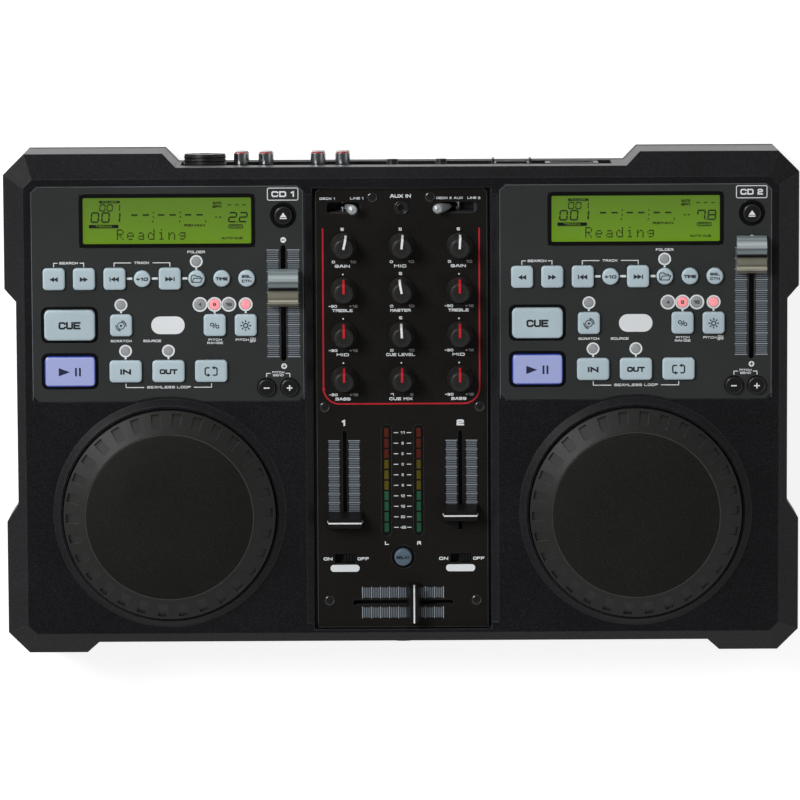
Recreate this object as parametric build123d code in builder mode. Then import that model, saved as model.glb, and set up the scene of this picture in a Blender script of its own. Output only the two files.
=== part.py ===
from build123d import *
import os
from math import atan2, cos, degrees, hypot, radians, sin

# Two-deck tabletop disc player with a two-channel mixer between its decks.
# Millimetres. +X is right, +Y is the rear, +Z is up, and the origin is on the table
# under the middle of the case.
# The control panel slopes up to the rear. Everything on it is placed by u (right),
# v (up the slope) and w (out of the surface), measured from the middle of the panel.

os.makedirs("parts", exist_ok=True)

# ---------------------------------------------------------------- driving dimensions

# Case
PANEL_SLOPE = 6.5  # degrees
PANEL_HEIGHT = 86.0  # panel surface above the table at v = 0
PANEL_FRONT = -132.4  # v of the front and rear edges of the flat top
PANEL_REAR = 126.0
SIDE_MARGIN = 4.3  # from a deck plate to the side edge of the flat top
TOP_CORNER = 5.0  # corner chamfers of the flat top and of the case
CASE_CORNER = 11.7
FACET_DROP = 9.0  # the sloping facet round the top, and its run to each wall
FACET_SIDE = 11.3
FACET_FRONT = 12.4
FACET_REAR = 12.9
RECESS_SIDE = 4.7  # its shorter run between the corner bumpers
RECESS_FRONT = 5.5
RECESS_REAR = 5.7
BUMPER_SIDE_REAR = 75.6  # bumper lengths from the case corner, and their slanted ends
BUMPER_SIDE_FRONT = 74.7
BUMPER_REAR = 88.8
BUMPER_FRONT = 44.3
SLANT_SIDE_REAR = 6.9
SLANT_SIDE_FRONT = 10.4
SLANT_REAR = 7.5
SLANT_FRONT = 6.7
CASE_WALL = 3.0
FIT = 0.1  # round a fixed piece in its hole
SHAFT_GAP = 0.05  # round a turning shaft in its bore
SEAM_HEIGHT = 24.0  # joint between top housing and bottom pan
PAN_BOTTOM = 6.0
PAN_WALL = 2.0
PAN_EDGE = 1.5
FOOT_RADIUS = 12.0
FOOT_TOE_RADIUS = 10.5
FOOT_INSET = 42.0  # foot centres from the case walls
FOOT_DIMPLE = 2.5
FOOT_DIMPLE_RADIUS = 4.0
VENT_X = 98.0  # cooling slots in the floor of the pan
VENT_Y = -45.0
VENT_PITCH = 8.0
VENT_COUNT = 9
VENT_LENGTH = 60.0
VENT_WIDTH = 3.0

# Panel plates
PLATE = 2.0
DECK_RISE = 0.5  # deck plates stand this far above the housing
DECK_CENTRE = 130.4
DECK_WIDTH = 151.6
DECK_FRONT = 0.4
DECK_REAR = 122.0
DECK_CORNER = 3.4
LEDGE = 4.3  # width of the housing ledge under a plate
DISPLAY_LEDGE = 3.2  # and behind the display
MIXER_WIDTH = 95.6
MIXER_FRONT = -129.9
MIXER_REAR = 119.9
MIXER_CORNER = 2.3
BAY_DEPTH = 2.5  # mixer plate below the housing top
BAY_GAP = 0.6  # round the mixer plate at front and rear
BAY_SIDE_GAP = 2.0
BAY_BEVEL = 3.9
PLATE_GAP = 0.3
BOARD = 1.6
BOARD_DROP = 12.5  # from the top of a plate to the board below it
KEY_BOARD_WIDTH = 134.0
KEY_BOARD_NEAR = 2.0
KEY_BOARD_FAR = 118.0
MIXER_BOARD_NEAR = -125.0
MIXER_BOARD_FAR = 98.0
DECK_POSTS = ((-60.0, 58.3), (-60.0, 30.7), (46.0, 81.5), (35.0, 30.5))
DECK_POST_RADIUS = 2.5

# Keys
KEY_GAP = 0.3
KEY_LIP = 0.9
KEY_FLANGE = 0.8
KEY_RISE = 2.2
KEY_TRAVEL = 0.8
KEY_STEM_RADIUS = 1.7
KEY_EDGE = 0.5
TACT_WIDTH = 6.0
TACT_HEIGHT = 3.2
TACT_CLEAR = 0.05
BEZEL_DEPTH = 0.5
KEY_SIZES = {  # width, depth and corner radius; no corner radius is a round key
    "square": (12.3, 12.3, 1.5),
    "round": (9.3, 9.3, None),
    "bend": (10.1, 10.1, None),
    "loop": (18.0, 12.4, 1.6),
    "large": (28.3, 17.1, 2.0),
    "eject": (10.3, 10.3, None),
    "relay": (9.8, 9.8, None),
}
BEZEL_MARGINS = {"large": 1.8, "eject": 2.2, "relay": 1.6}
KEY_ROW = 70.0
TRANSPORT_KEYS = (
    ("square", -63.3, KEY_ROW),
    ("square", -46.5, KEY_ROW),
    ("square", -29.5, KEY_ROW),
    ("round", -14.1, KEY_ROW),
    ("square", 1.3, KEY_ROW),
)
FUNCTION_KEYS = (
    ("round", 16.2, KEY_ROW),
    ("round", 30.2, KEY_ROW),
    ("round", 44.1, KEY_ROW),
    ("square", -26.1, 43.7),
    ("square", 26.1, 43.6),
    ("square", 43.4, 43.5),
)
LOOP_ROW = 17.6
BEND_ROW = 8.0
LOOP_KEYS = (
    ("loop", -23.8, LOOP_ROW),
    ("loop", 0.1, LOOP_ROW),
    ("loop", 23.9, LOOP_ROW),
    ("bend", 54.8, BEND_ROW),
    ("bend", 67.6, BEND_ROW),
)
CUE_KEY = ("large", -54.8, 43.9)
PLAY_KEY = ("large", -54.8, LOOP_ROW)
EJECT_KEY = ("eject", 64.7, 105.4)
RELAY_KEY = ("relay", 0.1, -89.6)

# Indicator lamps of a deck: u, v and lens radius
LAMPS = (
    (16.1, 79.6, 2.4),
    (-26.1, 55.1, 2.4),
    (18.0, 55.2, 3.0),
    (26.1, 55.2, 3.0),
    (34.0, 55.2, 3.0),
    (43.4, 55.2, 2.7),
    (-23.8, 29.0, 2.4),
    (0.1, 29.0, 2.4),
)
LAMP_RISE = 0.3
LAMP_GAP = 0.1

# Display
WINDOW_WIDTH = 97.6
WINDOW_DEPTH = 29.9
WINDOW_V = 102.45
WINDOW_SINK = 0.4
WINDOW_FLANGE = 0.8
WINDOW_LIP = 1.0
DISPLAY_MARGIN = 0.8

# Jog wheels
JOG_V = -63.5
JOG_RADIUS = 59.25
JOG_GAP = 0.85  # round the wheel in its well
JOG_WELL_DEPTH = 5.0
JOG_RING = 4.9  # width of the ring round the well
JOG_RING_RISE = 2.6
JOG_RING_LIP = 1.4
JOG_RING_GAP = 1.6  # from the ring to the arc of the deck plate
JOG_RIM = 12.0  # width of the sloping rim round the disc
JOG_TOP = 12.0
JOG_SHOULDER = 6.0
JOG_SKIN = 2.4
JOG_GROOVE = 0.5
JOG_FLOOR_GAP = 1.5
NOTCHES = 30
NOTCH_TURN = 1.4  # degrees, where the wheel stands at rest
NOTCH_WIDTH = 5.0
NOTCH_LENGTH = 9.2
NOTCH_DEPTH = 1.1
NOTCH_INSET = 5.65  # middle of a notch from the wheel's edge
SHAFT_RADIUS = 4.0
BUSH_RADIUS = 8.0
BUSH_FLANGE_RADIUS = 15.0
BUSH_FLANGE = 2.0
BUSH_RISE = 0.4
BUSH_BELOW = 8.0
HUB_RADIUS = 10.0
ENCODER_RADIUS = 17.0
ENCODER_DISC = 1.0
ENCODER_GAP = 0.5
ENCODER_SLOTS = 24

# Faders: where they are, their travel, slots and caps (width along u, depth along v, height)
PITCH_U = 64.5
PITCH_V = 55.7
PITCH_TRAVEL = 60.0
PITCH_SLOT_WIDTH = 2.9
PITCH_SLOT_END = 1.1  # slot longer than the travel and the blade
PITCH_CAP = (16.6, 20.8, 9.5)
PITCH_REST = (9.0, 26.5)
# Side of a pitch cap, from its foot over the crest to its groove, in shares of half its depth
# and of its height
PITCH_CAP_SIDE = ((1.0, 0.0), (0.95, 0.55), (0.62, 1.0), (0.3, 0.9), (0.115, 0.8), (0.115, 0.62))
CHANNEL_U = 32.3
CHANNEL_V = -45.8
CHANNEL_TRAVEL = 45.2
CHANNEL_SLOT_WIDTH = 2.2
CHANNEL_CAP = (20.4, 10.0, 9.5)
CHANNEL_REST = (-22.6, -18.6)
CROSS_V = -115.7
CROSS_TRAVEL = 45.0
CROSS_SLOT_WIDTH = 3.0
MIXER_SLOT_END = 6.8
CROSS_CAP = (8.0, 22.0, 9.5)
CROSS_REST = 6.2
CAP_GAP = 0.5  # under a fader cap
CAP_CREST = 0.55  # crest of a mixer cap as a share of its foot, across and along
CAP_TAPER = 0.9
CAP_CORNER = 0.8
BLADE = 1.4
BLADE_LENGTH = 4.6
BLADE_DEPTH = 8.5
TRACK_WIDTH = 11.0
TRACK_END = 6.0
TRACK_GAP = 0.5

# Knobs
KNOB_COLUMN = 32.35
KNOB_ROWS = (87.4, 62.3, 37.2, 12.1)
KNOB_RADIUS = 7.35
KNOB_TOP_RADIUS = 5.1
KNOB_HEIGHT = 12.0
KNOB_SKIRT = 1.2
KNOB_LIFT = 0.5
KNOB_EDGE = 0.5
POINTER_WIDTH = 1.2
POINTER_RISE = 0.25
POT_WIDTH = 10.0
POT_HEIGHT = 6.5
POT_SHAFT_RADIUS = 3.0
POT_BUSH_RADIUS = 4.5
POT_FLOOR = 1.5  # under the end of the bore, and under the end of the shaft
KNOB_SHAFT_END = 2.0
# Pointer angles as the knobs stand, clockwise from straight up the slope
KNOBS = {
    "gain_knob_1": (-1, 0, 12.0),
    "treble_knob_1": (-1, 1, 0.0),
    "mid_knob_1": (-1, 2, 0.0),
    "bass_knob_1": (-1, 3, 0.0),
    "mic_knob": (0, 0, 5.0),
    "master_knob": (0, 1, -10.0),
    "cue_level_knob": (0, 2, -3.0),
    "cue_mix_knob": (0, 3, 0.0),
    "gain_knob_2": (1, 0, 3.0),
    "treble_knob_2": (1, 1, 0.0),
    "mid_knob_2": (1, 2, 0.0),
    "bass_knob_2": (1, 3, 0.0),
}

# Input selector levers: slot length, lean to the right as they stand
SELECTOR_V = 108.8
SELECTORS = {
    "input_selector_1": (-32.3, 19.5, 15.0),
    "input_selector_2": (31.2, 22.3, -33.0),
}
SELECTOR_SLOT = 6.6
PIVOT_DROP = 12.0
LEVER_LENGTH = 20.0
LEVER_ROOT_RADIUS = 1.5
LEVER_NECK_RADIUS = 1.9
LEVER_BALL_RADIUS = 2.7
PIN_RADIUS = 1.5
LEVER_HUB_RADIUS = 2.2
LEVER_HUB = 5.0
SELECTOR_BODY = (22.0, 9.5, 14.0)
SELECTOR_CAVITY = (18.4, 5.8)

# Start switches
START_U = 32.4
START_V = -90.4
START_SLOT = (11.6, 5.3)
START_LEVER = (6.0, 4.4)
START_SINK = 0.7
START_SHIFT = 2.4  # lever to the right of the slot's middle as it stands
START_BODY = (16.0, 8.0)
START_STEP = 1.0  # cavity wider than the slot
START_CAVITY = 6.0
START_RIB = 1.6

# Small jacks: nut radius and height, thread radius, body radius and length
MINI_RADIUS = 1.75
MINI_THREAD_RADIUS = 3.0
AUX_V = 108.8
AUX_JACK = (4.1, 0.8, MINI_THREAD_RADIUS, 4.5, 12.0)
REMOTE_JACK = (3.1, 5.2, 2.6, 5.0, 14.0)

# Level meters and mixer screws
METER_U = 9.0
METER_V = -45.85
METER_LENGTH = 63.5
METER_WIDTH = 5.5
SCREW_PLACES = ((16.1, 114.8), (43.3, -3.9), (41.2, -114.4))
SCREW_HEAD_RADIUS = 2.6
SCREW_HEAD = 0.8
SCREW_SINK = 0.9
SCREW_SHANK_RADIUS = 1.4
SCREW_LENGTH = 6.5
SCREW_GAP = 0.05
SCREW_BOSS_RADIUS = 3.2
CROSS_RECESS = 0.7

# Front: disc slots and headphone socket
SLOT_CENTRE = 98.0
SLOT_HEIGHT = 41.2
SLOT_WIDTH = 124.0
SLOT_OPENING = 5.4
BEZEL_WIDTH = 134.0
BEZEL_HEIGHT = 14.0
BEZEL_PLATE = 1.4
BEZEL_CORNER = 3.0
BEZEL_NECK = 2.4  # wall round the slot
NECK_BEYOND = 2.0
PHONES_RADIUS = 3.2
PHONES_THREAD_RADIUS = 4.5
PHONES_JACK = (5.6, 2.2, PHONES_THREAD_RADIUS, 8.0, 24.0)

# Rear panel and sockets
REAR_PANEL = 1.5
REAR_LEFT = -123.5
REAR_RIGHT = 118.0
REAR_BOTTOM = 28.0
REAR_TOP = 72.0
REAR_LAP = 4.0
REAR_SEAM = 39.0  # seam between the jack plate and the power plate
PHONO_PAIRS = (-82.5, -39.55)
PHONO_GAUGE = 13.85
PHONO_ROWS = (44.0, 62.0)
PHONO_RADIUS = 4.2
PHONO_CLEAR = 0.8  # round a phono shell in the jack plate
PHONO_HOLE_RADIUS = 1.6
PHONO_REACH = 9.3
PHONO_DEPTH = 12.0
PHONO_SHELL = 0.7
PHONO_RIM = 0.6
PHONO_BLOCK = 10.0
PHONO_SCREW_RADIUS = 3.0
PHONO_SCREW_HEAD = 1.8
COMBO_X = -110.0
COMBO_Z = 51.0
COMBO_RADIUS = 11.5
COMBO_REACH = 8.6
COMBO_FLANGE = 1.5
COMBO_BODY = 20.0
COMBO_PIN_CIRCLE = 7.0
COMBO_PIN_RADIUS = 1.5
REMOTE_COLUMNS = (-4.8, 22.5)
REMOTE_Z = 52.0
ROCKER_X = 62.05
ROCKER_Z = 50.0
ROCKER_FRAME = (22.0, 27.0)
ROCKER_SIZE = (17.0, 20.0)
ROCKER_TILT = 8.0
ROCKER_DEPTH = 9.0  # of the cavity behind the panel face
ROCKER_BODY = 14.0
ROCKER_GAP = 0.3
ROCKER_DISH = 0.8
ROCKER_FACE = 3.6  # face in front of the axle
ROCKER_KEEL = 5.0
AXLE_DROP = 4.0  # axle behind the face of the flange
AXLE_RADIUS = 1.2
AXLE_END = 1.0
CHEEK = 1.3
CHEEK_RISE = 2.4
SOCKET_FLANGE = 3.0
FRAME_LAP = 2.0  # flanges wider than the bodies behind them
INLET_X = 95.8
INLET_Z = 50.0
INLET_FRAME = (29.6, 25.0)
INLET_CAVITY = (24.5, 16.5)
INLET_DEPTH = 17.0
INLET_BODY = 16.0
INLET_CORNER = 2.0
INLET_PINS = ((-7.0, -2.0), (7.0, -2.0), (0.0, 2.0))
INLET_PIN = (2.0, 4.0)
INLET_PIN_SHY = 2.0  # pins end this far inside

# Disc drives
DRIVE_WIDTH = 146.0
DRIVE_LENGTH = 165.0
DRIVE_BOTTOM = 28.0
DRIVE_HEIGHT = 20.0
DRIVE_WALL = 1.2
DRIVE_GAP = 0.5  # between a drive and the neck of its bezel
SPINDLE_BACK = 74.0  # spindle behind the front of the drive
TURNTABLE_RADIUS = 15.0
TURNTABLE = 2.0
SPINDLE_CONE_RADIUS = 7.4
SPINDLE_CONE = 1.8
SPINDLE_RADIUS = 1.25
MOTOR_RADIUS = 13.0
MOTOR_HEIGHT = 5.4
MOTOR_GAP = 0.3
SLED_NEAR = 19.0  # laser sled behind the spindle
SLED_FAR = 66.0
SLED_WIDTH = 44.0
SLED_BLOCK = 4.0
SLED_HEIGHT = 6.0
SLED_GAUGE = 34.0
SLED_ROD_RADIUS = 1.25
SLED_ROD_HEIGHT = 3.5
CARRIAGE = 22.0
LENS_RADIUS = 3.5
LENS_RISE = 1.0

# Boards and posts in the pan
POST_RADIUS = 4.0
BOARD_HEIGHT = 14.0
BOARD_FRONT = 46.0
BOARD_LENGTH = 60.0
SUPPLY_LEFT = 45.0
SUPPLY_WIDTH = 145.0
MAIN_LEFT = -195.0
MAIN_WIDTH = 215.0
BOSS_RADIUS = 4.5
BOSS_INSET = 14.0
BOSS_ROWS = (-108.0, -8.0, 118.0)
PAN_SCREW_RADIUS = 1.5
PAN_SCREW_LENGTH = 14.0
# Chips and connectors on the main board: place, width, depth and height
MAIN_CHIPS = (
    (30.0, 30.0, 14.0, 14.0, 1.2),
    (70.0, 22.0, 20.0, 20.0, 1.6),
    (112.0, 36.0, 10.0, 18.0, 1.4),
    (150.0, 22.0, 16.0, 16.0, 1.2),
    (188.0, 34.0, 12.0, 12.0, 1.4),
    (60.0, 53.0, 30.0, 6.0, 8.0),
    (120.0, 53.0, 40.0, 6.0, 8.0),
    (172.0, 7.0, 24.0, 6.0, 9.0),
)
# Power supply: transformer core and bobbin, capacitors and finned heat sink
TRANSFORMER = (28.0, 30.0)
CORE_SIZE = (40.0, 34.0, 26.0)
CORE_LEG = 4.0
BOBBIN_SIZE = (28.0, 44.0, 18.0)
BOBBIN_CORNER = 3.0
CAPACITORS = (
    (62.0, 16.0, 6.5, 18.0),
    (62.0, 44.0, 6.5, 18.0),
    (78.0, 16.0, 5.0, 14.0),
    (78.0, 30.0, 5.0, 14.0),
)
HEAT_SINK = (114.0, 34.0)
SINK_LENGTH = 44.0
SINK_HEIGHT = 25.0
FIN = 1.6
FINS = 8
FIN_REACH = 14.0

# ---------------------------------------------------------------- worked-out places

SLOPE_COS = cos(radians(PANEL_SLOPE))
SLOPE_SIN = sin(radians(PANEL_SLOPE))
OUT = Vector(0, -SLOPE_SIN, SLOPE_COS)
TOP_HALF = DECK_CENTRE + DECK_WIDTH / 2 + SIDE_MARGIN
CASE_HALF = TOP_HALF + FACET_SIDE
SIDE_WALL = TOP_HALF + RECESS_SIDE
JOG_WELL_RADIUS = JOG_RADIUS + JOG_GAP
JOG_RING_RADIUS = JOG_WELL_RADIUS + JOG_RING
JOG_DISC_RADIUS = JOG_RADIUS - JOG_RIM
NOTCH_RADIUS = JOG_RADIUS - NOTCH_INSET


def slope_y(v, w):
    """World y of a panel point, before the case is centred on the origin."""
    return v * SLOPE_COS - w * SLOPE_SIN


FRONT_EDGE = slope_y(PANEL_FRONT - FACET_FRONT, -FACET_DROP)
REAR_EDGE = slope_y(PANEL_REAR + FACET_REAR, -FACET_DROP)
CENTRE_SHIFT = -(FRONT_EDGE + REAR_EDGE) / 2
FRONT_Y = FRONT_EDGE + CENTRE_SHIFT
REAR_Y = REAR_EDGE + CENTRE_SHIFT


def panel_y(v, w):
    """World y of a panel point."""
    return slope_y(v, w) + CENTRE_SHIFT


def panel_z(v, w):
    """World z of a panel point."""
    return PANEL_HEIGHT + v * SLOPE_SIN + w * SLOPE_COS


def at(u=0.0, v=0.0, w=0.0):
    """The plane on the panel at u, v and w that faces out of its surface."""
    place = (u, panel_y(v, w), panel_z(v, w))
    return Plane(origin=place, x_dir=(1, 0, 0), z_dir=OUT)


def section(u=0.0, v=0.0, w=0.0):
    """The upright plane across the panel at v: its x is u and its y is w."""
    place = (u, panel_y(v, w), panel_z(v, w))
    return Plane(origin=place, x_dir=(1, 0, 0), z_dir=(0, -SLOPE_COS, -SLOPE_SIN))


RECESS_FRONT_Y = panel_y(PANEL_FRONT - RECESS_FRONT, -FACET_DROP * RECESS_FRONT / FACET_FRONT)
RECESS_REAR_Y = panel_y(PANEL_REAR + RECESS_REAR, -FACET_DROP * RECESS_REAR / FACET_REAR)
PANEL_FACE_Y = RECESS_REAR_Y - CASE_WALL  # outer face of the rear panel
PAN_FLOOR = PAN_BOTTOM + PAN_WALL
DECK_TOP = DECK_RISE
MIXER_TOP = -BAY_DEPTH
DECKS = ((1, -DECK_CENTRE), (2, DECK_CENTRE))
SIDES = ((1, -1), (2, 1))
DRIVE_FRONT_Y = RECESS_FRONT_Y + CASE_WALL + NECK_BEYOND + DRIVE_GAP
SPINDLE_Y = DRIVE_FRONT_Y + SPINDLE_BACK
BOSS_X = SIDE_WALL - CASE_WALL - BOSS_INSET + BOSS_RADIUS
TRACK_TOP = -PLATE - TRACK_GAP
PITCH_SLOT = (PITCH_TRAVEL + BLADE_LENGTH + PITCH_SLOT_END, PITCH_SLOT_WIDTH)
CHANNEL_SLOT = (CHANNEL_TRAVEL + BLADE_LENGTH + MIXER_SLOT_END, CHANNEL_SLOT_WIDTH)
CROSS_SLOT = (CROSS_TRAVEL + BLADE_LENGTH + MIXER_SLOT_END, CROSS_SLOT_WIDTH)
PHONO_COLUMNS = tuple(x + side * PHONO_GAUGE / 2 for x in PHONO_PAIRS for side in (-1, 1))
DECK_KEYS = TRANSPORT_KEYS + FUNCTION_KEYS + LOOP_KEYS + (CUE_KEY, PLAY_KEY, EJECT_KEY)
DRIVE_FLOOR = DRIVE_BOTTOM + DRIVE_WALL


def side_section(u=0.0, v=0.0, w=0.0):
    """The upright plane along the panel at u: its x is v and its y is w."""
    place = (u, panel_y(v, w), panel_z(v, w))
    return Plane(origin=place, x_dir=(0, SLOPE_COS, SLOPE_SIN), z_dir=(1, 0, 0))


def turned(plane, about_y=0.0, about_z=0.0):
    """A plane turned in degrees about its own axes."""
    return Plane(plane.location * Rotation(0, about_y, about_z))


def front_plane(x, z):
    """The plane on the front wall that faces the front."""
    return Plane(origin=(x, RECESS_FRONT_Y, z), x_dir=(1, 0, 0), z_dir=(0, -1, 0))


def rear_plane(x, z, out=0.0):
    """The plane on the rear panel, or that far behind it, that faces the rear."""
    return Plane(origin=(x, PANEL_FACE_Y + out, z), x_dir=(1, 0, 0), z_dir=(0, 1, 0))


def axle_plane(reach):
    """The plane across the power rocker's axle: its x is outwards and its y is up."""
    place = (ROCKER_X + reach, PANEL_FACE_Y + SOCKET_FLANGE - AXLE_DROP, ROCKER_Z)
    return Plane(origin=place, x_dir=(0, 1, 0), z_dir=(1, 0, 0))


def save(piece, name):
    """Label a finished piece and write it under its name."""
    piece.part.label = name
    export_step(piece.part, f"parts/{name}.step")
    print(name, round(piece.part.volume), "mm3")


def save_group(name, *pieces):
    """Write pieces that touch but aren't fused as one sub-part."""
    group = Compound([solid for piece in pieces for solid in piece.part.solids()])
    group.label = name
    export_step(group, f"parts/{name}.step")
    print(name, round(group.volume), "mm3")


# ---------------------------------------------------------------- shapes used often


def slab(plane, width, depth, height, corner=0.0, mode=Mode.ADD):
    """A block that stands on a plane, or hangs from it where the height is negative."""
    with BuildSketch(plane) as outline:
        if corner > 0:
            RectangleRounded(width, depth, corner)
        else:
            Rectangle(width, depth)
    return extrude(outline.sketch, amount=height, mode=mode)


def rod(plane, radius, height, mode=Mode.ADD):
    """A round rod that stands on a plane, or hangs from it."""
    with BuildSketch(plane) as outline:
        Circle(radius)
    return extrude(outline.sketch, amount=height, mode=mode)


def chamfered(half, front, rear, corner):
    """A rectangle in a sketch with its corners cut at 45 degrees."""
    Polygon(
        (-half + corner, front),
        (half - corner, front),
        (half, front + corner),
        (half, rear - corner),
        (half - corner, rear),
        (-half + corner, rear),
        (-half, rear - corner),
        (-half, front + corner),
        align=None,
    )


def spin(plane, *profile):
    """Revolve a closed profile of (radius, height) points about the normal of a plane."""
    up = plane.z_dir
    with BuildSketch(Plane(origin=plane.origin, x_dir=plane.x_dir, z_dir=-plane.y_dir)) as outline:
        Polygon(*profile, align=None)
    revolve(outline.sketch, axis=Axis(plane.origin, up))


def key_outline(kind, margin=0.0):
    """A key cap's outline in a sketch, or the hole round it."""
    width, depth, corner = KEY_SIZES[kind]
    if corner is None:
        Circle(width / 2 + margin)
    else:
        RectangleRounded(width + 2 * margin, depth + 2 * margin, corner + margin)


def key(kind, u, v, top):
    """A key in a plate whose upper face is at top: cap, flange under the plate and stem."""
    under = top - PLATE
    with BuildSketch(at(u, v, under)) as outline:
        key_outline(kind)
    extrude(outline.sketch, amount=PLATE + KEY_RISE)
    with BuildSketch(at(u, v, under)) as flange:
        key_outline(kind, KEY_GAP + KEY_LIP)
    extrude(flange.sketch, amount=-KEY_FLANGE)
    stem_end = top - BOARD_DROP + TACT_HEIGHT + KEY_TRAVEL + TACT_CLEAR
    rod(at(u, v, under - KEY_FLANGE / 2), KEY_STEM_RADIUS, stem_end - under + KEY_FLANGE / 2)


# ---------------------------------------------------------------- case


def recesses(margin):
    """The four stretches between the corner bumpers, in a sketch on the table plane."""
    rear_end = REAR_Y - BUMPER_SIDE_REAR
    front_end = FRONT_Y + BUMPER_SIDE_FRONT
    beyond = CASE_CORNER
    for side in (-1, 1):
        Polygon(
            (side * (CASE_HALF + beyond), rear_end),
            (side * CASE_HALF, rear_end),
            (side * SIDE_WALL, rear_end - SLANT_SIDE_REAR),
            (side * SIDE_WALL, front_end + SLANT_SIDE_FRONT),
            (side * CASE_HALF, front_end),
            (side * (CASE_HALF + beyond), front_end),
            align=None,
        )
    for outer, inner, reach, slant in (
        (REAR_Y, RECESS_REAR_Y, CASE_HALF - BUMPER_REAR, SLANT_REAR),
        (FRONT_Y, RECESS_FRONT_Y, CASE_HALF - BUMPER_FRONT, SLANT_FRONT),
    ):
        far = outer + (beyond if outer > 0 else -beyond)
        Polygon(
            (-reach, far),
            (-reach, outer),
            (-reach + slant, inner),
            (reach - slant, inner),
            (reach, outer),
            (reach, far),
            align=None,
        )
    if margin > 0:
        offset(amount=margin, kind=Kind.INTERSECTION)


def case_form(inset, bottom):
    """The case as a closed form down to a height, or the same form that far inside it."""
    slant = hypot(FACET_SIDE, FACET_DROP)
    ease = inset * (slant - FACET_SIDE) / FACET_DROP
    drop = FACET_DROP + inset * (slant - FACET_DROP) / FACET_SIDE
    with BuildPart() as form:
        with BuildSketch(at(w=-inset)) as lid:
            chamfered(TOP_HALF - ease, PANEL_FRONT + ease, PANEL_REAR - ease, TOP_CORNER)
        with BuildSketch(at(w=-drop)) as eaves:
            chamfered(
                CASE_HALF - inset,
                PANEL_FRONT - FACET_FRONT + inset,
                PANEL_REAR + FACET_REAR - inset,
                CASE_CORNER,
            )
        loft([lid.sketch, eaves.sketch], ruled=True)
        extrude(eaves.sketch, amount=2 * PANEL_HEIGHT, dir=(0, 0, -1))
        split(bisect_by=Plane.XY.offset(bottom), keep=Keep.TOP)
        with BuildSketch(Plane.XY) as between:
            recesses(inset)
        extrude(between.sketch, amount=2 * PANEL_HEIGHT, mode=Mode.SUBTRACT)
    return form.part


def case_block(inset, bottom):
    """The case's plan from a height up to the seam, or that far inside its walls."""
    with BuildPart() as block:
        with BuildSketch(Plane.XY.offset(bottom)) as outline:
            chamfered(CASE_HALF - inset, FRONT_Y + inset, REAR_Y - inset, CASE_CORNER)
        extrude(outline.sketch, amount=SEAM_HEIGHT - bottom)
        with BuildSketch(Plane.XY.offset(bottom)) as between:
            recesses(inset)
        extrude(between.sketch, amount=SEAM_HEIGHT - bottom, mode=Mode.SUBTRACT)
    return block.part


def deck_outline(margin):
    """A deck plate's outline about its own middle, in a sketch."""
    chamfered(
        DECK_WIDTH / 2 + margin, DECK_FRONT - margin, DECK_REAR + margin, DECK_CORNER
    )
    with Locations((0, JOG_V)):
        Circle(JOG_RING_RADIUS + JOG_RING_GAP - margin, mode=Mode.SUBTRACT)


def deck_opening():
    """The hole in the housing under a deck plate, inside its ledge, in a sketch."""
    front = DECK_FRONT + LEDGE + JOG_RING_GAP
    rear = DECK_REAR - DISPLAY_LEDGE
    with Locations((0, (front + rear) / 2)):
        Rectangle(DECK_WIDTH - 2 * LEDGE, rear - front)
    for kind, u, v in LOOP_KEYS:
        if kind == "bend":
            with Locations((u, v)):
                Circle(KEY_SIZES[kind][0] / 2 + KEY_GAP + KEY_LIP + PLATE_GAP)


def jog_wells():
    """The raised ring, wall and floor of both jog wells, in the active piece."""
    floor = -JOG_WELL_DEPTH
    wall = JOG_WELL_RADIUS + CASE_WALL
    for _, u in DECKS:
        rod(at(u, JOG_V, -2 * CASE_WALL), JOG_WELL_RADIUS, 3 * CASE_WALL, mode=Mode.SUBTRACT)
        spin(
            at(u, JOG_V),
            (BUSH_RADIUS + SHAFT_GAP, floor - CASE_WALL),
            (wall, floor - CASE_WALL),
            (wall, -CASE_WALL / 2),
            (JOG_RING_RADIUS, -CASE_WALL / 2),
            (JOG_RING_RADIUS, 0),
            (JOG_WELL_RADIUS + JOG_RING_LIP, JOG_RING_RISE),
            (JOG_WELL_RADIUS, JOG_RING_RISE),
            (JOG_WELL_RADIUS, floor),
            (BUSH_RADIUS + SHAFT_GAP, floor),
        )


bay_half = MIXER_WIDTH / 2 + BAY_SIDE_GAP
bay_front = MIXER_FRONT - BAY_GAP
bay_rear = MIXER_REAR + BAY_GAP
bay_middle = (bay_front + bay_rear) / 2
bay_length = bay_rear - bay_front
bay_floor = MIXER_TOP - PLATE

with BuildPart() as screw_bosses:
    for side in (-1, 1):
        for row in BOSS_ROWS:
            rod(Plane((side * BOSS_X, row, PAN_FLOOR)), BOSS_RADIUS, 2 * PANEL_HEIGHT)
    add(case_form(CASE_WALL, 0), mode=Mode.INTERSECT)
    for side in (-1, 1):
        for row in BOSS_ROWS:
            rod(
                Plane((side * BOSS_X, row, PAN_FLOOR)),
                PAN_SCREW_RADIUS + SCREW_GAP,
                PAN_SCREW_LENGTH,
                mode=Mode.SUBTRACT,
            )

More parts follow.
